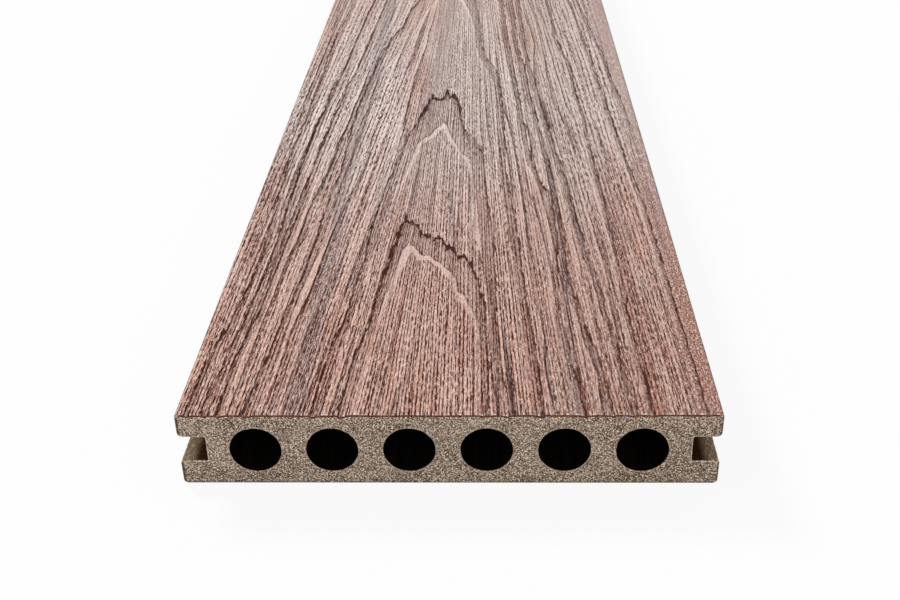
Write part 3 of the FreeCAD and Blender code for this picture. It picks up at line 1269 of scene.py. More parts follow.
class Value:
    """A number that varies over a surface: a node's output, with Python's operators on it."""

    def __init__(self, graph: "Graph", socket: bpy.types.NodeSocket) -> None:
        """Wrap a socket of this graph."""
        self.graph = graph
        self.socket = socket

    def math(self, operation: str, *others: "Number") -> "Value":
        """Add a Math node that takes this value first."""
        return self.graph.math(operation, self, *others)

    def __add__(self, other: "Number") -> "Value":
        """This value plus another."""
        return self.math("ADD", other)

    def __sub__(self, other: "Number") -> "Value":
        """This value less another."""
        return self.math("SUBTRACT", other)

    def __rsub__(self, other: "Number") -> "Value":
        """Another value less this one."""
        return self.graph.math("SUBTRACT", other, self)

    def __mul__(self, other: "Number") -> "Value":
        """This value times another."""
        return self.math("MULTIPLY", other)

    def __truediv__(self, other: "Number") -> "Value":
        """This value over another."""
        return self.math("DIVIDE", other)

    def __rtruediv__(self, other: "Number") -> "Value":
        """Another value over this one."""
        return self.graph.math("DIVIDE", other, self)

    def __pow__(self, other: "Number") -> "Value":
        """This value to a power."""
        return self.math("POWER", other)

    __radd__ = __add__
    __rmul__ = __mul__

    def at_least(self, other: "Number") -> "Value":
        """The larger of the two."""
        return self.math("MAXIMUM", other)

    def at_most(self, other: "Number") -> "Value":
        """The smaller of the two."""
        return self.math("MINIMUM", other)

    def size(self) -> "Value":
        """The value without its sign."""
        return self.math("ABSOLUTE")

    def sine(self) -> "Value":
        """The sine of the value, in radians."""
        return self.math("SINE")

    def wrapped(self, span: float) -> "Value":
        """What is left of the value after whole spans."""
        return self.math("FLOORED_MODULO", span)

    def step(self, low: "Number", high: "Number") -> "Value":
        """A soft step from 0 at low to 1 at high, which may be the smaller one."""
        return self.graph.value(
            "ShaderNodeMapRange",
            {"interpolation_type": "SMOOTHSTEP"},
            {"Value": self, "From Min": low, "From Max": high},
        )


class Paint:
    """A colour that varies over a surface: a node's output that mixes with other colours."""

    def __init__(self, graph: "Graph", socket: bpy.types.NodeSocket) -> None:
        """Wrap a socket of this graph."""
        self.graph = graph
        self.socket = socket

    def towards(self, other: "Tone", share: "Number") -> "Paint":
        """Mix another colour into this one, by a share from 0 to 1."""
        return self.graph.mix(share, self, other)


Number = Union[Value, float]
Tone = Union[Paint, Colour]


class Graph:
    """The nodes of one material."""

    def __init__(self, name: str) -> None:
        """Start a material that has only its shader."""
        self.material = bpy.data.materials.new(name)
        self.material.use_nodes = True
        self.tree = self.material.node_tree
        self.shader = self.tree.nodes["Principled BSDF"]

    def node(
        self,
        kind: str,
        settings: Optional[Mapping[str, object]] = None,
        inputs: Optional[Mapping[Union[str, int], object]] = None,
    ) -> bpy.types.Node:
        """Add a node.

        Args:
            kind: the node's type.
            settings: its own settings, which are set first.
            inputs: a value, a colour or another node's output for each named socket.

        Returns:
            The node.
        """
        made = self.tree.nodes.new(kind)
        for name, setting in (settings or {}).items():
            setattr(made, name, setting)
        for name, given in (inputs or {}).items():
            self.plug(made.inputs[name], given)
        return made

    def plug(self, socket: bpy.types.NodeSocket, given: object) -> None:
        """Link a socket to a value or colour of this graph, or set it to a plain one."""
        if isinstance(given, (Value, Paint)):
            self.tree.links.new(given.socket, socket)
        elif socket.type == "RGBA":
            socket.default_value = (*given, 1.0)
        else:
            socket.default_value = given

    def value(
        self,
        kind: str,
        settings: Mapping[str, object],
        inputs: Mapping[Union[str, int], object],
        output: int = 0,
    ) -> Value:
        """Add a node and take one of its outputs as a number."""
        return Value(self, self.node(kind, settings, inputs).outputs[output])

    def math(self, operation: str, *terms: Number) -> Value:
        """Add a Math node."""
        return self.value("ShaderNodeMath", {"operation": operation}, dict(enumerate(terms)))

    def mix(self, share: Number, base: Tone, other: Tone) -> Paint:
        """Add a Mix node for two colours."""
        settings = {"data_type": "RGBA", "blend_type": "MIX", "clamp_factor": True}
        made = self.node("ShaderNodeMix", settings, {0: share, 6: base, 7: other})
        return Paint(self, made.outputs[2])

    def place(self) -> tuple[Value, Value, Value]:
        """The place on the board, across, along and up, in millimetres from its origin."""
        made = self.node("ShaderNodeTexCoord")
        parts = self.node("ShaderNodeSeparateXYZ")
        self.tree.links.new(made.outputs["Object"], parts.inputs[0])
        return tuple(Value(self, part) * METRES_TO_MM for part in parts.outputs)

    def stored(self, name: str) -> Value:
        """What the mesh's vertices hold under this name."""
        return self.value("ShaderNodeAttribute", {"attribute_name": name}, {}, output=2)

    def noise(
        self, x: Number, y: Number, z: Number = 0.0, detail: float = 1.0, harshness: float = 0.5
    ) -> Value:
        """Smooth noise from 0 to 1 that changes about once for each unit of its coordinates.

        Args:
            x: the first coordinate.
            y: the second coordinate.
            z: the third coordinate, or a seed.
            detail: how many finer noises are laid over it, each half as large.
            harshness: how strong each of those is beside the one before.

        Returns:
            The noise.
        """
        place = self.node("ShaderNodeCombineXYZ", {}, {0: x, 1: y, 2: z})
        inputs = {"Scale": 1.0, "Detail": detail, "Roughness": harshness}
        made = self.node("ShaderNodeTexNoise", {"noise_dimensions": "3D"}, inputs)
        self.tree.links.new(place.outputs[0], made.inputs["Vector"])
        return Value(self, made.outputs[0])

    def grains(self, cell: Place, shift: float = 0.0, detail: float = 1.0) -> Value:
        """Noise through the whole board.

        Args:
            cell: how large its cells are across, along and up, in millimetres.
            shift: how many cells it is moved across, so that it agrees with no other.
            detail: how many finer noises are laid over it.

        Returns:
            The noise, from 0 to 1.
        """
        x, y, z = self.place()
        across, along, up = cell
        return self.noise(x / across + shift, y / along, z / up, detail)

    def finish(
        self, colour: Tone, roughness: Number, height: Value, relief: float, gloss: float
    ) -> bpy.types.Material:
        """Feed the shader.

        Args:
            colour: the base colour.
            roughness: how matt the surface is.
            height: the fine relief, from 0 to 1.
            relief: the depth that 1 stands for, in millimetres.
            gloss: the shader's specular level.

        Returns:
            The material.
        """
        inputs = {"Strength": 1.0, "Distance": mm(relief), "Height": height}
        bump = self.node("ShaderNodeBump", {}, inputs)
        self.tree.links.new(bump.outputs[0], self.shader.inputs["Normal"])
        self.plug(self.shader.inputs["Base Color"], colour)
        self.plug(self.shader.inputs["Roughness"], roughness)
        self.shader.inputs["Specular IOR Level"].default_value = gloss
        return self.material


@dataclass(frozen=True)
class CoreFinish:
    """Bare wood-plastic: flour and chips in a grey-brown binder, with faint marks of the saw."""

    sizes: BoardSizes
    binder: Colour = srgb(151, 131, 114)
    under_holes: Colour = srgb(121, 102, 84)
    pale_chip: Colour = srgb(249, 230, 210)
    dark_chip: Colour = srgb(34, 21, 11)
    # Painted shade along the sawn ends' arris, following the section's outline
    rim: Colour = srgb(70, 52, 37)
    # Painted highlight round the chambers' mouths, where their broken edges catch light
    mouth_highlight: Colour = srgb(170, 153, 137)
    groove_face: Colour = srgb(128, 106, 82)
    # Painted shade at the clip grooves' roots
    groove_root_shade: Colour = srgb(42, 20, 4)
    # The painted shade along the outline is wider on the left side, by this factor
    left_shade_widening: float = 1.8
    # Where the saw's middle was, across and up, and how close together its arcs are
    saw_middle: Point = (-40.0, -160.0)
    saw_rate: float = 5.5

    def colour(self, graph: Graph) -> Paint:
        """The bare composite's colour anywhere on the board."""
        cloud = graph.grains((9, 40, 5), detail=3)
        flour = graph.grains((0.29, 1.2, 0.31))
        chips = graph.grains((0.5, 3, 0.45), shift=31)
        paint = graph.mix(cloud.step(0.3, 0.7), self.under_holes, self.binder)
        paint = paint.towards(self.dark_chip, flour.step(0.50, 0.36) * 0.75)
        paint = paint.towards(self.pale_chip, flour.step(0.54, 0.68) * 0.85)
        paint = paint.towards(self.dark_chip, chips.step(0.44, 0.30) * 0.5)
        return paint.towards(self.pale_chip, chips.step(0.60, 0.74) * 0.5)

    def grooves(self, graph: Graph, paint: Paint) -> Paint:
        """The clip grooves' insides: a tan tone, with painted shade deepening towards their roots."""
        sizes = self.sizes
        x, y, z = graph.place()
        side, root, end = to_mm(sizes.side), to_mm(sizes.groove_root), to_mm(sizes.end)
        floor, roof = to_mm(sizes.lower_lip), to_mm(sizes.groove_roof)
        deep = x.size().step(side - 1.7, root + 2.3)
        within = z.step(floor - 0.3, floor - 0.05) * z.step(roof + 0.3, roof + 0.05)
        within = within * y.size().step(end - 0.1, end - 0.4)
        paint = paint.towards(self.groove_face, within * 0.7)
        # Painted shade, deepening towards the roots
        return paint.towards(self.groove_root_shade, deep * within)

    def sawn(self, graph: Graph, paint: Paint) -> Paint:
        """An end's marks: the saw's faint arcs, painted shade along the outline's arris, a painted
        highlight along the grooves' edges and painted highlight rings round the chambers' mouths.
        """
        x, y, z = graph.place()
        end = to_mm(self.sizes.end)
        at_end = y.size().step(end - 0.1, end - 0.02)
        ragged = graph.noise(x / 1.5, z / 1.5, 5.0, detail=2)
        arcs = self.saw_arcs(graph, x, z)
        paint = paint.towards(self.pale_chip, arcs.step(0.1, 1.0) * 0.08 * at_end)
        paint = paint.towards(self.dark_chip, arcs.step(-0.1, -1.0) * 0.09 * at_end)
        to_groove = self.to_groove(x, z)
        # Painted shade along the outline's arris
        rim = (self.to_outline(x, z, to_groove) + ragged * 0.3).step(0.7, 0.42)
        paint = paint.towards(self.rim, rim * 0.85 * at_end)
        # A painted highlight along the clip grooves' edges
        paint = paint.towards(self.pale_chip, to_groove.step(0.38, 0.2) * 0.45 * at_end)
        return paint.towards(self.mouth_highlight, self.mouth_highlight_rings(x, z, ragged) * at_end)

    def saw_arcs(self, graph: Graph, x: Value, z: Value) -> Value:
        """The arcs that the saw's teeth leave in patches, from -1 to 1."""
        across, up = self.saw_middle
        swing = ((x - across) ** 2 + (z - up) ** 2) ** 0.5
        wavering = graph.noise(x / 7, z / 7, 3.0)
        patches = graph.noise(x / 14, z / 9, 7.0).step(0.45, 0.7)
        return (swing * self.saw_rate + wavering * 4).sine() * patches

    def to_groove(self, x: Value, z: Value) -> Value:
        """The distance on a sawn end to the nearer clip groove, in millimetres."""
        sizes = self.sizes
        to_root = (to_mm(sizes.groove_root) - x.size()).at_least(0.0)
        from_middle = (z - to_mm(sizes.groove_middle)).size()
        to_lip = (from_middle - to_mm(sizes.groove_height) / 2).at_least(0.0)
        return (to_root ** 2 + to_lip ** 2) ** 0.5

    def to_outline(self, x: Value, z: Value, to_groove: Value) -> Value:
        """The distance on a sawn end to the section's outline, which its painted edge shade follows.
        """
        side, thickness = to_mm(self.sizes.side), to_mm(self.sizes.thickness)
        to_sides = (side - x).at_most((side + x) / self.left_shade_widening)
        return to_sides.at_most(z).at_most(thickness - z + 0.2).at_most(to_groove + 0.35)

    def mouth_highlight_rings(self, x: Value, z: Value, ragged: Value) -> Value:
        """How strong the painted highlight rings round the chambers' mouths are, from 0 to 1."""
        chambers = self.sizes.chambers
        across, up, radius = (to_mm(value) for value in chambers[0])
        pitch = to_mm(chambers[1][0]) - across
        from_middle = (x - across + pitch / 2).wrapped(pitch) - pitch / 2
        to_hole = (from_middle ** 2 + (z - up) ** 2) ** 0.5 - radius
        # Only round the chambers that are there
        last = to_mm(chambers[-1][0]) + radius
        there = x.size().step(last + 2, last + 1)
        return (to_hole + ragged * 0.5).step(0.95, 0.35) * there * 0.5

    def material(self) -> bpy.types.Material:
        """The finish of the ends, the sides, the grooves and the underside."""
        graph = Graph("wood_plastic_core")
        paint = self.grooves(graph, self.sawn(graph, self.colour(graph)))
        grit = graph.grains((0.35, 1.2, 0.35), detail=2)
        return graph.finish(paint, 0.86, grit, 0.14, 0.06)


@dataclass(frozen=True)
class Marks:
    """How strongly the grain's marks show on the skin, each from 0 to 1 but for the first.

    Attributes:
        wall_gap: the distance inside the nearest ring's chipped edge, in millimetres.
        band: the rings' sunken bands, which take painted shade.
        foot: the painted shadow line at the foot of a ring's wall.
        lip: the painted highlight on the ground just outside a ring's wall.
        deepening: how near its wall a band is, as its painted shade deepens there.
        rim: the ground beside a band's soft shoulder, with a painted highlight and a calmer grain.
        brink: the painted shadow line where the ground starts to drop there.
        line: the painted shadow line at a small ridge's foot.
        trough: the painted shade in the trough beyond that line.
        crest: the small ridge's crest, with a painted highlight and fewer grooves.
    """

    wall_gap: Value
    band: Value
    foot: Value
    lip: Value
    deepening: Value
    rim: Value
    brink: Value
    line: Value
    trough: Value
    crest: Value


class SkinPattern:
    """Where the fibres, grooves, pores and ridges of the embossed skin are.

    What runs along the fibres is laid out for this turn of the roller and for the next one, and
    fades over from the one to the other. It is quieter on the board's farther part.

    Attributes:
        x: the place across, in millimetres from the middle.
        y: the place along, in millimetres from the middle.
        along: the place along, in millimetres from the near end.
        fading: how far this turn's fine grain has faded into the next one's.
        tip: 1 around the rings' tips.
        quiet: 1 where the marks have become fainter.
        quiet_left: the same, on the left side only.
        further: 1 where the grooves are no longer broken up as at the near end.
        strands: broad fibres, from 0 to 1.
        pores: short pores, from 0 to 1.
        torn: how far the marks' edges are torn, to either side of 0.
        chipped: how far the rings' and ridges' edges are broken away, in millimetres.
        margin: 1 beside the right edge.
    """

    def __init__(self, graph: Graph, sizes: BoardSizes, grain: EmbossedGrain) -> None:
        """Lay out what the other patterns are made of."""
        self.graph = graph
        self.x, self.y, _ = graph.place()
        self.along = self.y + to_mm(sizes.end)
        place = graph.stored("turn_place")
        self.fading = place.step(grain.turn * grain.fade_start, grain.turn * grain.fade_stop)
        self.tip = graph.stored("tip")
        self.quiet = self.along.step(180, 400)
        self.further = self.along.step(40, 150)
        self.quiet_left = self.quiet * self.x.step(-12, -30)
        self.strands = self.fibres(1.6, 55, 1.0, detail=2, harshness=0.7)
        self.pores = self.fibres(0.5, 3.4, 3.0, detail=2, harshness=0.6)
        self.torn = self.fibres(1.3, 5.0, 7.0, detail=2, harshness=0.65) - 0.5
        self.chipped = self.torn * (1.3 + self.tip * 1.3)
        self.margin = (self.x + self.torn * 4).step(61.5, 65.0)

    def faded(self, pattern: Callable[[Value, float], Value]) -> Value:
        """Fade one turn's pattern over into the next one's.

        Args:
            pattern: what to make of a fibre's place across and of a shift to the pattern's seed.

        Returns:
            The pattern over all turns.
        """
        here = pattern(self.graph.stored("fibre"), 0)
        following = pattern(self.graph.stored("next_fibre"), 40)
        return here + (following - here) * self.fading

    def fibres(
        self,
        width: float,
        length: float,
        seed: float,
        detail: float = 1.0,
        harshness: float = 0.5,
    ) -> Value:
        """Noise drawn out along the fibres.

        Args:
            width: the fibres' width in millimetres.
            length: their length in millimetres.
            seed: which of the patterns.
            detail: how many finer noises are laid over it.
            harshness: how strong those are.

        Returns:
            The noise, from 0 to 1.
        """
        noise, y = self.graph.noise, self.y
        return self.faded(
            lambda fibre, shift: noise(fibre / width, y / length, seed + shift, detail, harshness)
        )

    def stripes(self, pitch: float, wobble: float, seed: float, cut: Value) -> Value:
        """Narrow grooves side by side along the fibres.

        Args:
            pitch: how far apart they are, in millimetres.
            wobble: how far they stray from even spacing, in pitches.
            seed: which of the patterns.
            cut: how wide they are, as a share of the pitch.

        Returns:
            1 in a groove and 0 between them.
        """

        def side_by_side(fibre: Value, shift: float) -> Value:
            """The grooves of one turn."""
            y = self.y / (pitch * 45)
            stray = self.graph.noise(fibre / (pitch * 1.9), y, seed + shift, detail=2)
            count = (fibre / pitch + stray * wobble).wrapped(1.0)
            return (count - 0.5).size().step(cut, cut * 0.35)

        return self.faded(side_by_side)

    def ridges(self) -> tuple[Value, Value, Value]:
        """The small ridges' marks: the painted shadow line at each one's foot, the painted shade in
        the trough beyond and the painted highlight on the crest.
        """
        marks = []
        for count, share in (("ridge", "vigour"), ("next_ridge", "next_vigour")):
            past_edge = (self.graph.stored(count) + self.chipped * 0.17).wrapped(1.0)
            vigour = self.graph.stored(share)
            line = past_edge.step(0.0, 0.03) * past_edge.step(0.22, 0.1)
            trough = past_edge.step(0.0, 0.05) * past_edge.step(0.5, 0.1)
            crest = past_edge.step(0.55, 0.85)
            marks.append((line * vigour, trough * vigour, crest * vigour))
        return tuple(here + following for here, following in zip(*marks))

    def marks(self) -> Marks:
        """The marks of the rings and of the small ridges, most of them for painted light and shade.
        """
        tip, torn, quiet = self.tip, self.torn, self.quiet
        band_gap = self.graph.stored("band_gap")
        wall_gap = self.graph.stored("wall_gap") + self.chipped
        # Nothing of a ring shows on the rounded edges
        on_top = self.x.size().step(68.0, 65.5)
        band = (band_gap + self.chipped).step(-0.1, 0.4) * on_top
        dashes = self.fibres(2.5, 11, 11.0).step(0.38, 0.56).at_least(tip.step(0.7, 1.0))
        thick = (tip.step(0.94, 1.0) * (torn * 7 + 0.5) + 0.44).at_least(0.4)
        foot = wall_gap.step(-0.15, 0.1) * wall_gap.step(thick + 0.35, thick - 0.25) * on_top
        # The shoulder is torn less than the wall, and its rim's painted highlight is wider around the
        # tips
        soft_gap = band_gap + torn * 0.7
        reach = tip + 0.8
        rim = soft_gap.step(-0.4 - reach, 0.1 - reach) * soft_gap.step(0.15, -0.1)
        brink = soft_gap.step(-0.1, 0.15) * soft_gap.step(1.0, 0.4)
        line, trough, crest = self.ridges()
        open_ground = 1 - band * 0.8
        return Marks(
            wall_gap=wall_gap,
            band=band,
            foot=foot * (dashes * 0.7 + 0.3) * (1 - quiet * 0.3),
            lip=wall_gap.step(-1.3, -0.2) * wall_gap.step(0.1, -0.15) * on_top,
            deepening=wall_gap.step(4.5, 0.3) * band,
            rim=rim * wall_gap.step(1.0, 2.0),
            brink=brink * wall_gap.size().step(0.8, 2.0),
            line=line * open_ground * (1 - quiet * 0.6) * (dashes * 0.55 + 0.45),
            trough=trough * open_ground * (1 - quiet * 0.7),
            crest=crest,
        )

    def fine_share(self, marks: Marks) -> Value:
        """How far the fine grain shows: less on the rims inside the tips and by the right edge."""
        ribbed = self.graph.stored("vigour") + self.graph.stored("next_vigour")
        on_rim = (marks.rim * (0.5 + self.tip * 0.35)).at_most(1.0)
        share = (1 - on_rim) * (1 - self.margin * 0.8) * (1 - marks.crest * 0.6)
        share = share * (1 - ribbed * 0.15) * (1 - self.x.step(16, 30) * 0.22)
        return share * (1 - self.quiet_left * 0.3)

    def grooves(self, marks: Marks, share: Value) -> Value:
        """The fine and coarse grooves between the fibres, broken into dashes by the pores.

        Args:
            marks: the marks of the rings and ridges.
            share: how far the fine grain shows.

        Returns:
            1 in a groove and 0 between them.
        """
        pores, further = self.pores, self.further
        broken = pores.step(0.60, 0.44)
        cut = pores.step(0.62, 0.38) * 0.20 + self.strands.step(0.60, 0.36) * 0.10
        cut = cut + marks.trough * 0.12 + 0.04
        fine = self.stripes(1.0, 1.3, 2.0, cut) * (1 - further * 0.35)
        coarse = self.stripes(1.35, 1.2, 4.0, cut * (0.6 + further * 0.35))
        whole = further * 0.4 + marks.band * self.tip * 0.5
        dashed = coarse * (broken * (1 - whole) + whole)
        return (fine * (0.45 + broken * 0.55)).at_least(dashed) * share

    def speckle(self, grooves: Value, share: Value) -> tuple[Value, Value]:
        """The pale flecks between the grooves and the dark pits, each from 0 to 1.

        Args:
            grooves: where the grooves are.
            share: how far the fine grain shows.

        Returns:
            The flecks and the pits.
        """
        near, further = self.fibres(0.42, 2.2, 9.0), self.fibres(0.6, 4.5, 12.0)
        spots = near + (further - near) * self.along.step(60, 170)
        sand = self.graph.noise(self.x / 0.45, self.along / 0.9, 15.0)
        flecks = spots.step(0.53, 0.62) * 0.3 + sand.step(0.54, 0.64) * 0.35
        pits = spots.step(0.47, 0.37) * 0.4 * (0.2 + share * 0.8)
        pits = pits + sand.step(0.47, 0.35) * (0.25 + self.margin * 0.35)
        fewer = 1 - self.quiet * 0.5
        return flecks * (1 - grooves) * fewer, pits * fewer


@dataclass(frozen=True)
class Streak:
    """A streak of colour laid along the face, in millimetres."""

    middle: float
    half_width: float
    start: float
    stop: float
    colour: Colour
    share: float
    # How far its edges stray with the fibres, and how far before and after it fades
    stray: float = 6.0
    fade_in: float = 40.0
    fade_out: float = 60.0

    def cover(self, skin: SkinPattern) -> Value:
        """How much of the streak shows at each place, with edges that follow the fibres."""
        away = (skin.x - self.middle + (skin.strands - 0.5) * self.stray).size()
        held = away.step(self.half_width, self.half_width * 0.35)
        begun = skin.along.step(self.start - self.fade_in, self.start)
        ended = skin.along.step(self.stop + self.fade_out, self.stop)
        return held * begun * ended * self.share


@dataclass(frozen=True)
class Tones:
    """The skin's shades, from the bottom of a groove to the tops that stand out."""

    groove: Tone
    flank: Tone
    top: Tone
    bright: Tone

    def towards(self, graph: Graph, other: "Tones", share: Number) -> "Tones":
        """These shades with another set's mixed in, by a share from 0 to 1."""
        return Tones(
            groove=graph.mix(share, self.groove, other.groove),
            flank=graph.mix(share, self.flank, other.flank),
            top=graph.mix(share, self.top, other.top),
            bright=graph.mix(share, self.bright, other.bright),
        )


@dataclass(frozen=True)
class FaceFinish:
    """The embossed skin: streaky pinkish brown, ribbed with dark grooves between its fibres."""

    sizes: BoardSizes
    grain: EmbossedGrain
    core: CoreFinish
    # The paler shades, used beyond the near end, partly hold a painted sheen of the grazing light
    pale: Tones = Tones(
        groove=srgb(82, 48, 37),
        flank=srgb(225, 197, 188),
        top=srgb(246, 226, 219),
        bright=srgb(255, 251, 248),
    )
    salmon: Tones = Tones(
        groove=srgb(68, 28, 14),
        flank=srgb(196, 138, 118),
        top=srgb(226, 182, 165),
        bright=srgb(255, 243, 236),
    )
    shade: Colour = srgb(120, 86, 76)
    # Painted shadow, for the lines at the feet of the rings' walls and of the small ridges
    wall: Colour = srgb(66, 27, 14)
    charcoal: Colour = srgb(108, 102, 110)
    red: Colour = srgb(192, 116, 88)
    streaks: tuple[Streak, ...] = (
        Streak(-39.5, 3.4, -50, 430, srgb(112, 104, 110), 0.5),
        Streak(53, 3.0, -10, 130, srgb(140, 78, 60), 0.5),
        Streak(33.5, 1.8, -10, 200, srgb(104, 96, 101), 0.4),
        Streak(-31, 12.0, 150, 215, srgb(241, 217, 209), 0.38),
    )

    def ground(self, skin: SkinPattern, marks: Marks, tones: Tones, warm: Value) -> Paint:
        """The skin's colour without its fine marks: its fibres' shades and its long streaks, with
        the painted highlights and painted shade of the rings and the small ridges.

        Args:
            skin: the skin's patterns.
            marks: the marks of the rings and ridges.
            tones: the skin's shades.
            warm: how warm those are, from 0 to 1.

        Returns:
            The colour.
        """
        x, quiet, margin, trough = skin.x, skin.quiet, skin.margin, marks.trough
        # Painted highlights on the small ridges' crests, the shoulders' rims and the walls' lips lift
        # the tone; painted shade in the troughs and towards the walls lowers it
        lift = skin.strands.step(0.30, 0.56) + marks.crest * 0.4 + marks.rim * 0.3
        lift = lift + marks.lip * 0.4 - trough * 0.3 - marks.deepening * 0.4 - margin * 0.8
        paint = tones.flank.towards(tones.top, lift.at_least(0.0).at_most(1.0))
        paint = paint.towards(self.shade, x.step(10, 40) * (0.2 + quiet * 0.14))
        paint = paint.towards(self.shade, skin.quiet_left * 0.14)
        # Painted shade in the small ridges' troughs, greyer in streaks, and darker by the right edge
        paint = paint.towards(self.shade, trough * 0.5 + margin * 0.2)
        streaky = skin.fibres(2.6, 150, 5.0, detail=2)
        paint = paint.towards(self.charcoal, trough * streaky.step(0.48, 0.56) * 0.4)
        paint = paint.towards(self.charcoal, streaky.step(0.59, 0.70) * 0.42 * (1 - quiet * 0.5))
        reddened = streaky.step(0.44, 0.30) * 0.5 * (0.2 + warm * 0.8)
        paint = paint.towards(self.red, reddened * (1 - margin * 0.8))
        for streak in self.streaks:
            paint = paint.towards(streak.colour, streak.cover(skin))
        return paint

    def material(self) -> bpy.types.Material:
        """The finish of the walking face and its rounded edges."""
        graph = Graph("embossed_skin")
        skin = SkinPattern(graph, self.sizes, self.grain)
        tip = skin.tip
        marks = skin.marks()
        share = skin.fine_share(marks)
        grooves = skin.grooves(marks, share)
        flecks, pits = skin.speckle(grooves, share)

        broad = graph.noise(skin.x / 30, skin.along / 220, 4.0, detail=2)
        # Salmon at the near end and paler further along, the paleness partly a painted sheen of
        # grazing light; broad noise adds warm patches
        warm = skin.along.step(240, 20).at_least(broad.step(0.5, 0.72) * 0.5)
        tones = self.pale.towards(graph, self.salmon, warm)
        paint = self.ground(skin, marks, tones, warm)
        # Painted shade in the rings' sunken bands, deepest towards their walls
        sunk = marks.deepening * 0.25 + marks.band * (0.13 + tip * 0.03)
        paint = paint.towards(self.shade, sunk.at_most(1.0))

        # Painted highlight along the saw's arris at both ends
        arris_highlight = (to_mm(self.sizes.end) - skin.y.size()).step(0.5, 0.2)
        arris_highlight = arris_highlight * skin.torn.step(-0.02, 0.06)
        # Painted highlights on the rims inside the tips and beside the shoulders, added to the pale
        # flecks
        tip_rim_highlight = marks.rim * tip * marks.wall_gap.step(2.5, 5.0)
        light = flecks + marks.rim * 0.03 + tip_rim_highlight * 0.03 + arris_highlight * 0.65
        paint = paint.towards(tones.bright, light.at_most(1.0))
        # The fine grooves and pits: dark in their own colour, with painted shade at their bottoms
        paint = paint.towards(tones.groove, (grooves + pits).at_most(1.0))
        # Painted shadow lines: where the shoulders start to drop, at the small ridges' feet and at
        # the foot of the rings' walls
        paint = paint.towards(self.wall, marks.brink * (0.2 + tip * 0.25))
        paint = paint.towards(self.wall, marks.line.at_most(1.0))
        paint = paint.towards(self.wall, marks.foot * 0.95)
        bare = graph.stored("across").size().step(69.3, 69.9)
        paint = graph.mix(bare, paint, self.core.colour(graph))

        relief = 1 + flecks * 0.4 + skin.strands * 0.5 - grooves * 0.8 - pits * 0.4
        relief = relief - marks.trough * 0.5 - marks.line * 0.7 - marks.foot * 0.8
        return graph.finish(paint, 0.72, relief, 0.2, 0.04)


@dataclass(frozen=True)
class SkinEdgeFinish:
    """The skin's own thickness, cut by the saw: a thin dark red-brown line."""

    core: CoreFinish
    skin: Colour = srgb(74, 42, 33)
    worn: Colour = srgb(112, 72, 57)

    def material(self) -> bpy.types.Material:
        """The finish of the line along the top of each sawn end."""
        graph = Graph("sawn_skin")
        across, _, _ = graph.place()
        chipped = graph.grains((1.2, 2, 1.2), detail=2)
        paint = graph.mix(chipped.step(0.42, 0.68), self.skin, self.worn)
        bare = across.size().step(68.4, 69.2)
        paint = graph.mix(bare, paint, self.core.colour(graph))
        return graph.finish(paint, 0.75, chipped, 0.05, 0.1)


@dataclass(frozen=True)
class ChamberFinish:
    """The chambers' walls: painted shade, near black all the way in, where the core is brown."""

    # Painted shade, with faint streaks of a slightly lighter shade along the chambers
    dark: Colour = srgb(6, 4, 3)
    lighter_shade: Colour = srgb(11, 8, 6)

    def material(self) -> bpy.types.Material:
        """The finish of the chambers' walls."""
        graph = Graph("chamber_wall")
        drawn = graph.grains((0.8, 30, 0.8), detail=2)
        paint = graph.mix(drawn.step(0.4, 0.7), self.dark, self.lighter_shade)
        return graph.finish(paint, 0.95, drawn, 0.05, 0.02)


@dataclass(frozen=True)
class SoftLamp:
    """A distant soft lamp: where it stands, how strong it is and how many degrees wide."""

    name: str
    towards: Place
    strength: float
    spread: float

    def hang(self) -> None:
        """Put the lamp up, shining from its direction."""
        lamp = bpy.data.lights.new(self.name, "SUN")
        lamp.energy = self.strength
        lamp.angle = math.radians(self.spread)
        holder = bpy.data.objects.new(self.name, lamp)
        holder.rotation_euler = Vector(self.towards).to_track_quat("Z", "Y").to_euler()
        bpy.context.scene.collection.objects.link(holder)


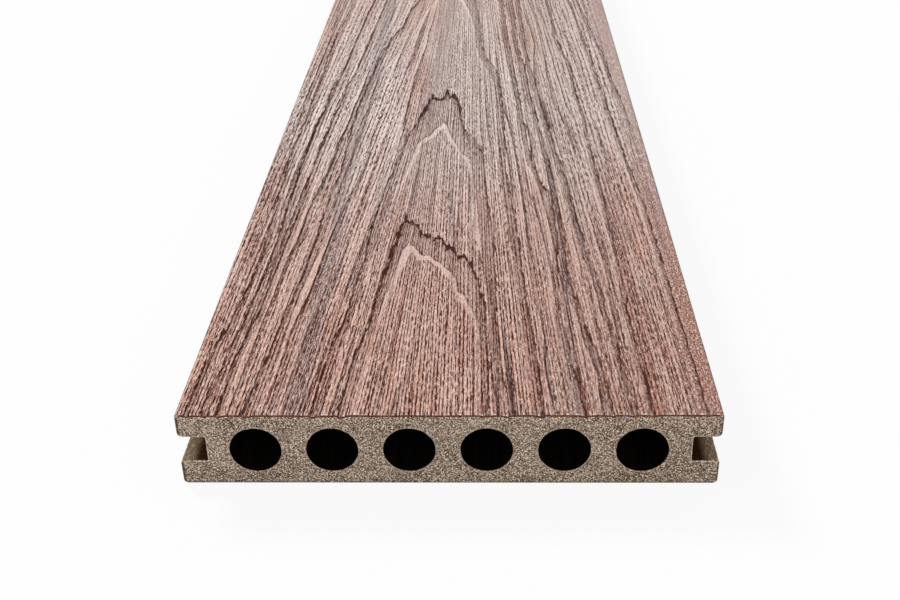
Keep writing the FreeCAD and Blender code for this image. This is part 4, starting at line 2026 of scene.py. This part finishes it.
@dataclass(frozen=True)
class Studio:
    """A pale floor, soft light from behind and from the front, and the camera."""

    # The lens and the sensor's width in millimetres, the camera's place in metres, and the
    # directions that are right, down and forward in its picture
    lens: float = 48.286
    sensor: float = 36.0
    camera_place: Place = (0.01076, -1.35137, 0.19876)
    right: Place = (0.99946766, 0.02602964, -0.01966845)
    down: Place = (-0.00418259, -0.49565905, -0.86850712)
    forward: Place = (-0.03235577, 0.86812705, -0.49528632)
    # The rays that show the background and the floor as white
    white_rays: tuple[str, ...] = ("Is Camera Ray", "Is Glossy Ray", "Is Transmission Ray")
    world_strength: float = 0.42
    floor_size: float = 30.0
    floor_grey: float = 0.92
    floor_glow: float = 0.9
    lamps: tuple[SoftLamp, ...] = (
        SoftLamp("key", (-0.5, 0.62, 0.6), 2.1, 14.0),
        SoftLamp("front_fill", (0.1, -0.95, 0.3), 1.45, 60.0),
    )

    def set_up(self) -> None:
        """Add the camera, the lamps, the world and the floor."""
        bpy.context.scene.view_settings.view_transform = "Standard"
        self.add_camera()
        for lamp in self.lamps:
            lamp.hang()
        self.add_world()
        self.add_floor()
        LOG.info("studio: %d lamps, floor and camera", len(self.lamps))

    def add_camera(self) -> None:
        """Add the camera where the board is seen from near its end, from above."""
        camera = bpy.data.cameras.new("camera")
        camera.lens = self.lens
        camera.sensor_width = self.sensor
        camera.clip_start = 0.01
        camera.clip_end = 100
        holder = bpy.data.objects.new("camera", camera)
        axes = Matrix((self.right, [-v for v in self.down], [-v for v in self.forward]))
        turned = axes.transposed().to_4x4()
        holder.matrix_world = Matrix.Translation(self.camera_place) @ turned
        bpy.context.scene.collection.objects.link(holder)
        bpy.context.scene.camera = holder

    def add_world(self) -> None:
        """Light the scene evenly, with pure white behind it."""
        world = bpy.data.worlds.new("studio")
        bpy.context.scene.world = world
        world.use_nodes = True
        nodes, links = world.node_tree.nodes, world.node_tree.links
        background = nodes["Background"]
        background.inputs["Color"].default_value = (1, 1, 1, 1)
        path = nodes.new("ShaderNodeLightPath")
        strongest = None
        for ray in self.white_rays:
            most = nodes.new("ShaderNodeMath")
            most.operation = "MAXIMUM"
            most.inputs[1].default_value = self.world_strength
            links.new(path.outputs[ray], most.inputs[0])
            if strongest is not None:
                links.new(strongest, most.inputs[1])
            strongest = most.outputs[0]
        links.new(strongest, background.inputs["Strength"])

    def add_floor(self) -> None:
        """Lay the floor under the board: white to the camera, with the board's soft shadow."""
        Bench.clear()
        bpy.ops.mesh.primitive_plane_add(size=self.floor_size)
        floor = Bench.start("floor")
        graph = Graph("pale_floor")
        graph.shader.inputs["Base Color"].default_value = (*[self.floor_grey] * 3, 1)
        graph.shader.inputs["Roughness"].default_value = 1.0
        graph.shader.inputs["Specular IOR Level"].default_value = 0.0
        glow = graph.node("ShaderNodeEmission", {}, {"Color": (1.0, 1.0, 1.0), "Strength": 1.0})
        path = graph.node("ShaderNodeLightPath")
        first, *others = (Value(graph, path.outputs[ray]) for ray in self.white_rays)
        seen = first
        for ray in others:
            seen = seen.at_least(ray)
        blend = graph.node("ShaderNodeMixShader", {}, {"Fac": seen * self.floor_glow})
        links = graph.tree.links
        links.new(graph.shader.outputs[0], blend.inputs[1])
        links.new(glow.outputs[0], blend.inputs[2])
        links.new(blend.outputs[0], graph.tree.nodes["Material Output"].inputs["Surface"])
        floor.data.materials.append(graph.material)


def main() -> None:
    """Build the board, dress it and set the studio."""
    logging.basicConfig(level=logging.INFO)
    sizes = BoardSizes.from_frame("board")
    maker = DeckingBoard(sizes)
    board = maker.build()
    maker.assign(board)
    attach(board, "root")
    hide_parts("board")
    Studio().set_up()
    LOG.info("board done")


if __name__ == "__main__":
    main()
